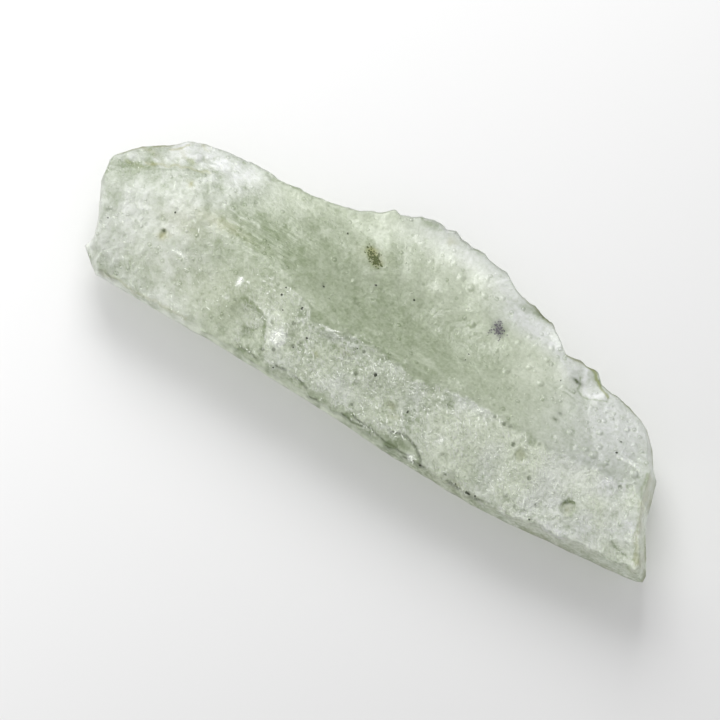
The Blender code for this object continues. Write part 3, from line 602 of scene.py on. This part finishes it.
def crack_lines(at):
    """Dark lines inside the front edge, each a bell that wavers about its own depth and breaks off where
    a slow noise is low."""
    cracks = np.zeros(at.x.shape)
    for depth, seed in CRACKS:
        away = at.front - depth - 0.4 * cloud(at.x, 0 * at.x, 2.6, seed, 3)
        unbroken = soft_step(cloud(at.x, 0 * at.x, 1.5, seed + 4, 2), 0.0, 0.3)
        cracks = np.maximum(cracks, bell(away, CRACK_HALF_WIDTH) * unbroken)
    return cracks * between(at.x, -17, -12, 15, 20)


def glass_looks(at, skin):
    """What the surface is like at each point of the top, as shares from 0 to 1: its tone, the stains that
    are blended in (olive, white, dark, violet, grey), and how strong each pattern of the glass is
    (frost, striae, lively for the mottling, bubbles)."""
    x, y, frost, at_left = at.x, at.y, skin.frost, skin.at_left
    # A painted shadow just below each pale lump of the bevel, on the side turned from the light: it darkens
    # the tone and is blended in with the olive.
    painted_lump_shadow = np.clip(ovals(x + 0.1, y + 0.5, BEVEL_LUMPS, 0.2) - skin.lumps, 0, 1)
    outline = bell(at.inset, 0.25) * soft_step(cloud(x, y, 1.6, 88, 2), -0.5, 0.1)
    outline = outline * (soft_step(x, 8, 14) + soft_step(-x, 27, 30) * soft_step(y, 1, 3))
    outline = outline * (0.3 + 0.7 * soft_step(at.front, 0.4, 1.0))
    olive = ovals(x, y, OLIVE_STAINS, 0.25) + lines(x, y, OLIVE_LINES, 0.2) + outline + 0.3 * painted_lump_shadow
    dark = ovals(x, y, DARK_SPOTS, 0.15) + lines(x, y, CHIP_EDGES) + 0.9 * crack_lines(at)
    dark = dark * at.on_band**2 + 0.6 * outline
    grey = soft_step(x, 14, 26) * (1 - 0.5 * skin.before_crest)
    grey += 0.8 * soft_step(x, 5, 11) * soft_step(y, 5, 8)
    grey += 0.9 * bell(at.back, 2.8) * soft_step(x, -8, -1)
    grey += soft_step(-x, 16, 24) * (0.6 + 0.4 * soft_step(y, 3, 7))
    grey += frost * (1 - at_left) * (0.1 + 0.6 * cloud(x, y, 3.2, 61, 2))
    return {
        "frost": frost,
        "tone": np.clip(glass_tone(at, skin, painted_lump_shadow), 0, 1),
        "olive": np.clip(olive, 0, 1),
        "white": skin.flakes,
        "dark": np.clip(dark, 0, 1),
        "violet": np.clip(lines(x, y, VIOLET_LINES, 0.25), 0, 1),
        "striae": skin.striae,
        "lively": 0.5 + 0.5 * frost - 0.15 * at_left + 1.4 * (1 - at.on_band) * soft_step(x, 2, 8),
        "grey": np.clip(grey, 0, 1),
        "bubbles": soft_step(x, 8, 15) * (1 - skin.before_crest) + 0.5 * soft_step(y, 5.5, 8) + 0.8 * at_left,
    }


def ragged_plan(at):
    """The plan points, moved by noise near the edges, so that no edge runs smooth."""
    x, y = at.x, at.y
    ragged_x = 0.07 * cloud(y, 0 * y, 1.2, 91, 3) * (np.exp(-at.left / 0.5) - np.exp(-at.right / 0.5))
    ragged_y = 0.12 * cloud(x, 0 * x, 1.3, 93, 4) * np.exp(-at.back / 0.6)
    ragged_y = ragged_y + 0.04 * cloud(x, 0 * x, 1.6, 95, 3) * np.exp(-at.front / 0.5)
    return np.stack([x + ragged_x, y + ragged_y], axis=-1)


def closed_surface(name, top, under, step):
    """One closed mesh from two grids. The underside keeps every step-th row, its rim points are the
    top's own, and the faces next to the two ends take in the top's points between those rows."""
    columns, rows = top.shape[:2]
    kept = under[:, ::step]
    top_index = np.arange(columns * rows).reshape(columns, rows)
    under_index = top_index[:, ::step].copy()
    inside = kept[1:-1, 1:-1]
    under_index[1:-1, 1:-1] = columns * rows + np.arange(inside[..., 0].size).reshape(inside.shape[:2])

    def quads(index):
        return np.stack([index[:-1, :-1], index[1:, :-1], index[1:, 1:], index[:-1, 1:]], axis=-1)

    starts = np.arange(0, rows - 1, step)
    left_rim = [top_index[0, starts + k] for k in range(step + 1)]
    right_rim = [top_index[-1, starts + step - k] for k in range(step + 1)]
    left = np.stack([under_index[1, :-1], *left_rim, under_index[1, 1:]], axis=-1)
    right = np.stack([under_index[-2, 1:], *right_rim, under_index[-2, :-1]], axis=-1)
    faces = quads(top_index).reshape(-1, 4).tolist()
    faces += quads(under_index[1:-1])[..., ::-1].reshape(-1, 4).tolist()
    faces += left.tolist() + right.tolist()
    points = np.concatenate([top.reshape(-1, 3), inside.reshape(-1, 3)]) * MM
    mesh = bpy.data.meshes.new(name)
    mesh.from_pydata(points.tolist(), [], faces)
    mesh.shade_smooth()
    return mesh, inside.shape[0] * inside.shape[1]


def linear(hex_colour):
    """A #rrggbb sRGB colour as linear RGBA."""
    channels = np.array([int(hex_colour[k : k + 2], 16) / 255 for k in (1, 3, 5)])
    value = np.where(channels <= 0.04045, channels / 12.92, ((channels + 0.055) / 1.055) ** 2.4)
    return (*value.tolist(), 1.0)


def node(tree, kind, settings=None, inputs=None, output=0):
    """Adds a shader node, sets its properties, links or sets its inputs by name or number, and returns
    one of its outputs."""
    added = tree.nodes.new("ShaderNode" + kind)
    for key, value in (settings or {}).items():
        setattr(added, key, value)
    for key, value in (inputs or {}).items():
        if isinstance(value, bpy.types.NodeSocket):
            tree.links.new(value, added.inputs[key])
        else:
            added.inputs[key].default_value = value
    return added.outputs[output] if added.outputs else None


plan = plan_grid()
skin = skin_zones(plan)
masks = glass_looks(plan, skin)
top_z = top_heights(plan, skin)
outline_xy = ragged_plan(plan)
centre = (outline_xy.max(axis=(0, 1)) + outline_xy.min(axis=(0, 1))) / 2
top_grid = np.dstack([outline_xy - centre, top_z])
under_grid = np.dstack([outline_xy - centre, underside_heights(plan, top_z)])
chunk_mesh, underside_count = closed_surface("glass_chunk_fine", top_grid, under_grid, UNDERSIDE_STEP)
UNDERSIDE = {"frost": 0.5, "tone": 0.6, "lively": 0.7}  # the underside is plain, so all else is 0 there
for attribute, on_top in masks.items():
    values = np.append(on_top.ravel(), np.full(underside_count, UNDERSIDE.get(attribute, 0.0)))
    layer = chunk_mesh.attributes.new(attribute, "FLOAT", "POINT")
    layer.data.foreach_set("value", values.astype(np.float32))
chunk = bpy.data.objects.new("glass_chunk_fine", chunk_mesh)
bpy.context.collection.objects.link(chunk)

# Noise patterns: name, size in millimetres, detail, and how many times they are drawn out, in which
# direction in plan, in degrees. The frosted face is hackled along two directions that cross.
PATTERNS = [
    ("blotches", 1.1, 3.0, 1.0, 0), ("grain", 0.42, 4.0, 1.0, 0), ("flecks", 0.24, 2.0, 1.0, 0),
    ("clusters", 1.7, 2.0, 1.0, 0), ("strokes", 0.2, 3.0, 3.5, -56), ("crossing", 0.2, 3.0, 3.0, -8),
    ("hairs", 0.16, 2.0, 5.0, 4), ("streaks", 0.35, 2.0, 8.0, 0),
]
# Smooth steps: name, the pattern or mask it follows, where it starts and ends, its values there.
STEPS = [
    ("blotch", "blotches", 0.3, 0.7, -0.12, 0.12), ("speckle", "grain", 0.3, 0.7, -0.2, 0.2),
    ("pale fleck", "flecks", 0.55, 0.7, 0.0, 0.15), ("dark fleck", "flecks", 0.45, 0.3, 0.0, -0.18),
    ("hair", "hairs", 0.6, 0.72, -0.04, 0.04), ("cluster", "clusters", 0.4, 0.6, 0.25, 1.0),
    ("stroke", "strokes", 0.54, 0.62, 0.0, 1.0), ("cross stroke", "crossing", 0.56, 0.64, 0.0, 0.7),
    ("grain height", "frost", 0.0, 1.0, 0.25, 0.7), ("roughness", "frost", 0.0, 1.0, 0.28, 0.5),
    ("share of domes", "bubbles", 0.0, 2.0, 0.12, 0.7), ("share of seeds", "bubbles", 0.0, 1.0, 0.25, 0.6),
]
# Round bubbles and pits: name, size of a cell in millimetres, the share of cells that hold one, and its
# edges, each from the distance where it starts to the one where it is full, in cells.
SPOTS = [
    ("dome", 0.95, "share of domes", (0.24, 0.08)), ("seed", 0.55, "share of seeds", (0.28, 0.1)),
    ("dome wall shade", 0.95, "share of domes", (0.34, 0.24), (0.14, 0.22)), ("pit", 1.7, 0.45, (0.2, 0.08)),
]
# How these are put together, in this order: result, operation, what it works on.
SUMS = [
    ("pit", "MULTIPLY", "pit", "frost"), ("stroke", "MAXIMUM", "stroke", "cross stroke"),
    ("stroke", "MULTIPLY", "stroke", "cluster"), ("stroke", "MULTIPLY", "stroke", "frost"),
    ("streak", "MULTIPLY", "streaks", "striae"), ("height", "MULTIPLY", "grain", "grain height"),
    ("dark pit", "MULTIPLY", "pit", 0.75), ("dark", "MAXIMUM", "dark", "dark pit"),
    ("white stroke", "MULTIPLY", "stroke", 0.58), ("white", "MAXIMUM", "white", "white stroke"),
    ("olive", "MULTIPLY", "olive", 0.7),
]
# What is added to the tone and to the height of the relief, and how much of it. The dome wall darkens the
# tone as painted shade round each small dome.
ADDED = [
    ("tone", "blotch", "lively"), ("tone", "speckle", "lively"), ("tone", "pale fleck", "lively"),
    ("tone", "dark fleck", "lively"), ("tone", "dome wall shade", -0.22), ("tone", "seed", 0.07),
    ("tone", "hair", 1.0), ("tone", "streak", 0.16), ("height", "dome", 0.32), ("height", "seed", 0.2),
    ("height", "pit", -0.3), ("height", "stroke", 0.18), ("height", "streak", 0.3),
]
SUMS += [(total, "MULTIPLY_ADD", part, share, total) for total, part, share in ADDED]
# The colours, in this order: result, the share of the second colour, first colour, second colour.
BLENDS = [
    ("pale", "grey", "#f7fced", "#f9f9fe"),
    ("glass", "tone", "#8c9978", "pale"),  # green where it is thick and clear, pale where it is cloudy
    ("glass", "olive", "glass", "#a3a05a"),
    ("glass", "violet", "glass", "#7b7880"),
    ("glass", "dark", "glass", "#4a5536"),
    ("glass", "white", "glass", "#ffffff"),
]
RELIEF = 0.2 * MM  # how deep a change of height by 1 goes
# Iron in the glass takes out red and blue, so that light comes green through its thick middle.
TINT, TINT_DENSITY = (0.35, 0.53, 0.05, 1.0), 9.0


def slag_glass():
    """Soda-lime furnace glass: clear, tinted by iron. It is glossy where it broke cleanly, and scatters light
    where it broke through fine bubbles. The soft mottling, white flecks and small round bubbles give the eye
    the depth of a cloudy glass; a ring of painted shade darkens the wall of each small dome."""
    material = bpy.data.materials.new("slag_glass")
    material.use_nodes = True
    tree = material.node_tree
    tree.nodes.clear()
    place = node(tree, "TexCoord", output="Object")
    of = {name: node(tree, "Attribute", {"attribute_name": name}, output="Fac") for name in masks}
    for name, size, detail, times, degrees in PATTERNS:
        drawn = {"Rotation": (0.0, 0.0, float(np.radians(degrees))), "Scale": (times, 1.0, 1.0)}
        where = node(tree, "Mapping", {"vector_type": "TEXTURE"}, {"Vector": place, **drawn})
        of[name] = node(tree, "TexNoise", {}, {"Vector": where, "Scale": 1 / (size * MM), "Detail": detail})
    smooth = {"interpolation_type": "SMOOTHSTEP"}
    for name, source, start, end, before, after in STEPS:
        ends = {"From Min": start, "From Max": end, "To Min": before, "To Max": after}
        of[name] = node(tree, "MapRange", smooth, {"Value": of[source], **ends})
    for name, cell, share, *edges in SPOTS:
        away = node(tree, "TexVoronoi", {"feature": "F1"}, {"Vector": place, "Scale": 1 / (cell * MM)})
        chance = node(tree, "SeparateColor", {}, {"Color": away.node.outputs["Color"]})
        of[name] = node(tree, "Math", {"operation": "LESS_THAN"}, {0: chance, 1: of.get(share, share)})
        for start, end in edges:
            edge = node(tree, "MapRange", smooth, {"Value": away, "From Min": start, "From Max": end})
            of[name] = node(tree, "Math", {"operation": "MULTIPLY"}, {0: of[name], 1: edge})
    for name, operation, *parts in SUMS:
        inputs = {number: of.get(part, part) for number, part in enumerate(parts)}
        of[name] = node(tree, "Math", {"operation": operation}, inputs)
    for name, share, *colours in BLENDS:
        first, second = (of[colour] if colour in of else linear(colour) for colour in colours)
        of[name] = node(tree, "Mix", {"data_type": "RGBA"}, {0: of[share], 6: first, 7: second}, output=2)
    bump = node(tree, "Bump", {}, {"Height": of["height"], "Strength": 1.0, "Distance": RELIEF})
    shader = node(
        tree,
        "BsdfPrincipled",
        {},
        {
            "Base Color": of["glass"],
            "Roughness": of["roughness"],
            "IOR": 1.5,
            "Transmission Weight": 0.5,
            "Normal": bump,
        },
    )
    tint = node(tree, "VolumeAbsorption", {}, {"Color": TINT, "Density": TINT_DENSITY})
    node(tree, "OutputMaterial", {}, {"Surface": shader, "Volume": tint})
    return material


chunk_mesh.materials.append(slag_glass())
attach(chunk, "root")
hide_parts("glass_chunk")

# ------------------------------------------------------------
# Grains of slag and mineral in the surface
# Crumbs of furnace lining and burnt ore that the glass caught while it was soft: black specks, one
# nest of olive granules and one of violet-grey ones, and patches of glass that was crushed white. Each
# is an angular crumb, partly sunk.
# ------------------------------------------------------------

# (x, y, radius) of each crumb; a nest is a line of them with a spread.
BLACK_SPECKS = [
    (0, 3.7, 0.2), (-4.4, 3, 0.2), (-9, -0.3, 0.2), (-7.8, -1.2, 0.12), (-9.9, 6.6, 0.12),
    (8.1, 1.3, 0.14), (8.1, 0.5, 0.16), (0.65, -5.9, 0.28), (-2.4, -4.45, 0.15), (-7.7, -6.1, 0.18),
    (-8.5, -7.6, 0.14), (5.6, -7.6, 0.2), (-12.3, -2.5, 0.15), (-12.3, -3.4, 0.15),
    (-9.7, -3.6, 0.18), (-11.4, -4.8, 0.16), (-9.4, -10.4, 0.12), (27.2, -0.3, 0.2), (27, 1.1, 0.12),
    (-26.8, -1.15, 0.18), (22.6, -11.2, 0.14), (15.5, -11.9, 0.3), (16.3, -11.8, 0.14), (9.5, -11.8, 0.14),
    (13.8, -11.6, 0.14), (24.2, -0.1, 0.1), (-33, -5, 0.12), (-29.4, -9.6, 0.1), (18, 3.9, 0.1),
]
CRUMB_SUNK, CRUMB_FLATNESS = 0.25, 0.7
NESTS = {  # start, end, spread, count, crumb radius
    "olive_crumbs": [
        ((-7.4, 6.4), (-7.2, 6.3), 0.05, 5, 0.13), ((-7.5, 6.8), (-6.4, 6.3), 0.04, 9, 0.08),
        ((-6.75, 6.1), (-5.4, 5.15), 0.28, 170, 0.12),
    ],
    "violet_crumbs": [
        ((9.2, 6), (9.7, 5.1), 0.3, 60, 0.12), ((8.6, 4.9), (8.9, 4.6), 0.1, 6, 0.08),
        ((10, 4.5), (10.1, 4.2), 0.1, 5, 0.08), ((9.65, 5.15), (9.75, 5.1), 0.06, 6, 0.16),
    ],
    "white_crumbs": [
        ((-10.35, -7.1), (-10.3, -7.9), 0.22, 70, 0.17), ((-17, -4.2), (-16.9, -4.5), 0.13, 22, 0.13),
        ((-24.9, -4.6), (-23.7, -4.95), 0.05, 16, 0.09), ((8.4, -11.7), (8.6, -11.8), 0.07, 9, 0.12),
        ((-20.9, -10.5), (-20.6, -10.5), 0.08, 8, 0.09), ((-6.2, -4.4), (-4.9, -3.9), 0.04, 22, 0.07),
        ((5.4, -10), (5.7, -9.9), 0.1, 10, 0.1), ((10.3, -8.4), (10.4, -8.8), 0.1, 12, 0.08),
    ],
}


def crumb_shape():
    """The corners and faces of a crumb of radius 1, an icosphere."""
    shape = bmesh.new()
    bmesh.ops.create_icosphere(shape, subdivisions=1, radius=1.0)
    points = np.array([corner.co for corner in shape.verts])
    faces = np.array([[corner.index for corner in face.verts] for face in shape.faces])
    shape.free()
    return points, faces


def crumb_corners(places, seed, points):
    """The corners of each crumb. They are moved in or out and stretched at random, each crumb lies a
    little flat, and its middle is sunk by a share of its radius."""
    rng = np.random.default_rng(seed)
    x, y, radius = np.array(places).T
    x, y = x - centre[0], y - centre[1]
    surface = top_grid.reshape(-1, 3)
    nearest = np.argmin(np.hypot(surface[None, :, 0] - x[:, None], surface[None, :, 1] - y[:, None]), axis=1)
    count = len(radius)
    uneven = points[None] * rng.uniform(0.75, 1.25, (count, len(points), 1))
    stretch = rng.uniform(0.6, 1.2, (count, 1, 3)) * [1, 1, CRUMB_FLATNESS]
    middles = np.stack([x, y, surface[nearest, 2] - CRUMB_SUNK * radius], axis=-1)
    return middles[:, None] + radius[:, None, None] * uneven * stretch


def strewn(name, corners, faces, material):
    """One object of many copies of a small shape: corners is (copies, corners, 3), faces is for one."""
    indices = faces + corners.shape[1] * np.arange(len(corners))[:, None, None]
    mesh = bpy.data.meshes.new(name)
    mesh.from_pydata((corners.reshape(-1, 3) * MM).tolist(), [], indices.reshape(-1, 3).tolist())
    mesh.materials.append(material)
    made = bpy.data.objects.new(name, mesh)
    bpy.context.collection.objects.link(made)
    return made


def nest(runs, seed):
    """Crumbs strewn along each run from its start to its end."""
    rng = np.random.default_rng(seed)
    found = []
    for start, end, spread, count, radius in runs:
        along_run = rng.uniform(0, 1, (count, 1))
        places = (1 - along_run) * start + along_run * end + rng.normal(0, spread, (count, 2))
        sizes = radius * rng.uniform(0.5, 1.3, count)
        found += np.column_stack([places, sizes]).tolist()
    return found


def dull_grain(name, colour):
    """A material for grains that are rough all over, so that they neither shine nor let light through."""
    material = bpy.data.materials.new(name)
    material.use_nodes = True
    shader = material.node_tree.nodes["Principled BSDF"]
    shader.inputs["Base Color"].default_value = linear(colour)
    shader.inputs["Roughness"].default_value = 0.55
    return material


def add_crumbs(name, places, seed, material):
    """Adds all crumbs of one kind as one piece that rides on the chunk."""
    points, faces = crumb_shape()
    crumb_object = strewn(name, crumb_corners(places, seed, points), faces, material)
    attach(crumb_object, "root")


# Burnt furnace lining is nearly black, slag is dull like fired clay, and powdered glass looks white.
add_crumbs("black_specks", BLACK_SPECKS, 3, dull_grain("furnace_cinder", "#3b4132"))
add_crumbs("olive_crumbs", nest(NESTS["olive_crumbs"], 4), 5, dull_grain("olive_slag", "#4f5a2e"))
add_crumbs("violet_crumbs", nest(NESTS["violet_crumbs"], 6), 7, dull_grain("violet_grey_slag", "#626064"))
add_crumbs("white_crumbs", nest(NESTS["white_crumbs"], 10), 11, dull_grain("glass_powder", "#eef2e8"))

# ------------------------------------------------------------
# White slivers of crushed glass
# Thin slivers that the breaking blow crushed loose in the frosted face. Each is a flat, pointed flake
# of opaque white glass powder that lies in the surface, most of them along the same hackle direction.
# ------------------------------------------------------------

HACKLE = [(-56, 16, 0.65), (-5, 22, 0.35)]  # direction in plan, spread in degrees, share of the slivers
SLIVERS = 1300
SLIVER_HALF_LENGTH, SLIVER_HALF_WIDTH, SLIVER_HALF_THICKNESS = 0.14, 0.05, 0.04
SLIVER_SHIFT = 0.08  # how far a sliver may lie beside its grid point
OCTAHEDRON = np.array(  # the faces of a sliver, by the numbers of its corners
    [(0, 2, 4), (2, 1, 4), (1, 3, 4), (3, 0, 4), (2, 0, 5), (1, 2, 5), (3, 1, 5), (0, 3, 5)]
)


def sliver_corners(seed):
    """The six corners of each sliver, a pointed octahedron laid in the surface: two ahead and behind, two
    at its sides and two out of and into the glass. More of them lie where the glass is frosted."""
    rng = np.random.default_rng(seed)
    x, y = top_grid[..., 0], top_grid[..., 1]
    chance = masks["frost"] ** 2 * soft_step(cloud(x, y, 1.8, 17, 3), -0.5, 0.6)
    chance = (chance + 6 * masks["white"])[1:-1, 1:-1].ravel()
    picked = rng.choice(len(chance), SLIVERS, p=chance / chance.sum())
    column, row = np.unravel_index(picked, (COLUMNS - 2, top_grid.shape[1] - 2))
    column, row = column + 1, row + 1
    east = top_grid[column + 1, row] - top_grid[column - 1, row]
    east /= np.linalg.norm(east, axis=1, keepdims=True)
    out = np.cross(east, top_grid[column, row + 1] - top_grid[column, row - 1])
    out /= np.linalg.norm(out, axis=1, keepdims=True)
    north = np.cross(out, east)
    kind = rng.choice(len(HACKLE), SLIVERS, p=[share for _, _, share in HACKLE])
    direction, spread, _ = np.array(HACKLE)[kind].T
    turn = np.radians(direction + spread * rng.normal(0, 1, SLIVERS))[:, None]
    ahead, aside = np.cos(turn) * east + np.sin(turn) * north, np.cos(turn) * north - np.sin(turn) * east
    ahead = SLIVER_HALF_LENGTH * rng.lognormal(0, 0.5, (SLIVERS, 1)) * ahead
    aside = SLIVER_HALF_WIDTH * rng.uniform(0.6, 1.5, (SLIVERS, 1)) * aside
    middle = top_grid[column, row] + rng.uniform(-SLIVER_SHIFT, SLIVER_SHIFT, (SLIVERS, 1)) * east
    up = SLIVER_HALF_THICKNESS * out
    return middle[:, None] + np.stack([ahead, -ahead, aside, -aside, up, -up], axis=1)


slivers = strewn("white_slivers", sliver_corners(8), OCTAHEDRON, dull_grain("crushed_glass", "#e6ebe0"))
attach(slivers, "root")

# ------------------------------------------------------------
# Table, light and camera
# A pale matt table. A large soft window behind the chunk and an even sky light it, and a weak lamp at
# the left, without a shadow, opens up the front. A long lens looks down on it, a little from the front.
# ------------------------------------------------------------

bpy.ops.mesh.primitive_plane_add(size=3.0, location=(0, 0, -0.02 * MM))  # just clear of the facet
table = bpy.context.object
table.name = "pale_table"
card = bpy.data.materials.new("white_card")  # uncoated card: matt, so the shadow on it stays soft
card.use_nodes = True
card.node_tree.nodes["Principled BSDF"].inputs["Base Color"].default_value = linear("#e0e0e0")
card.node_tree.nodes["Principled BSDF"].inputs["Roughness"].default_value = 0.9
table.data.materials.append(card)

AZIMUTH, ELEVATION = np.radians(29.6), np.radians(80.0)
FRAME_PIXELS, AIM_PIXEL = 720, (391.3, 341.3)  # how wide the frame is, and where in it the aim falls
PIXEL = 0.1078  # millimetres at the chunk's middle height
FOCAL, SENSOR = 400.0, 36.0
AIM = np.array([0.05, -1.5, 5.0])
level = np.array([np.sin(AZIMUTH), -np.cos(AZIMUTH), 0.0])
toward = np.cos(ELEVATION) * level + [0.0, 0.0, np.sin(ELEVATION)]
distance = FRAME_PIXELS * PIXEL * FOCAL / SENSOR
camera_data = bpy.data.cameras.new("camera")
camera_data.lens, camera_data.sensor_width = FOCAL, SENSOR
camera_data.clip_start, camera_data.clip_end = 0.01, 20.0
camera_data.shift_x = 0.5 - AIM_PIXEL[0] / FRAME_PIXELS
camera_data.shift_y = AIM_PIXEL[1] / FRAME_PIXELS - 0.5
camera = bpy.data.objects.new("camera", camera_data)
bpy.context.collection.objects.link(camera)
camera.location = ((AIM + toward * distance) * MM).tolist()
camera.rotation_euler = Vector((-toward).tolist()).to_track_quat("-Z", "Y").to_euler()
bpy.context.scene.camera = camera


def soft_lamp(name, from_where, size, power, shadow=True):
    """A square area lamp that faces the chunk: its place and side in metres, its power in watts."""
    lamp_data = bpy.data.lights.new(name, "AREA")
    lamp_data.size, lamp_data.energy = size, power
    lamp_data.use_shadow = shadow
    lamp = bpy.data.objects.new(name, lamp_data)
    lamp.location = from_where
    lamp.rotation_euler = (-Vector(from_where)).to_track_quat("-Z", "Y").to_euler()
    bpy.context.collection.objects.link(lamp)


soft_lamp("window_light", (-0.108, 0.157, 0.161), 0.15, 0.47)
soft_lamp("left_light", (-0.16, -0.06, 0.09), 0.1, 0.16, shadow=False)
world = bpy.data.worlds.new("studio")
bpy.context.scene.world = world
world.use_nodes = True
world.node_tree.nodes["Background"].inputs["Color"].default_value = (1.0, 1.0, 1.0, 1.0)
world.node_tree.nodes["Background"].inputs["Strength"].default_value = 0.57
bpy.context.scene.view_settings.view_transform = "Standard"
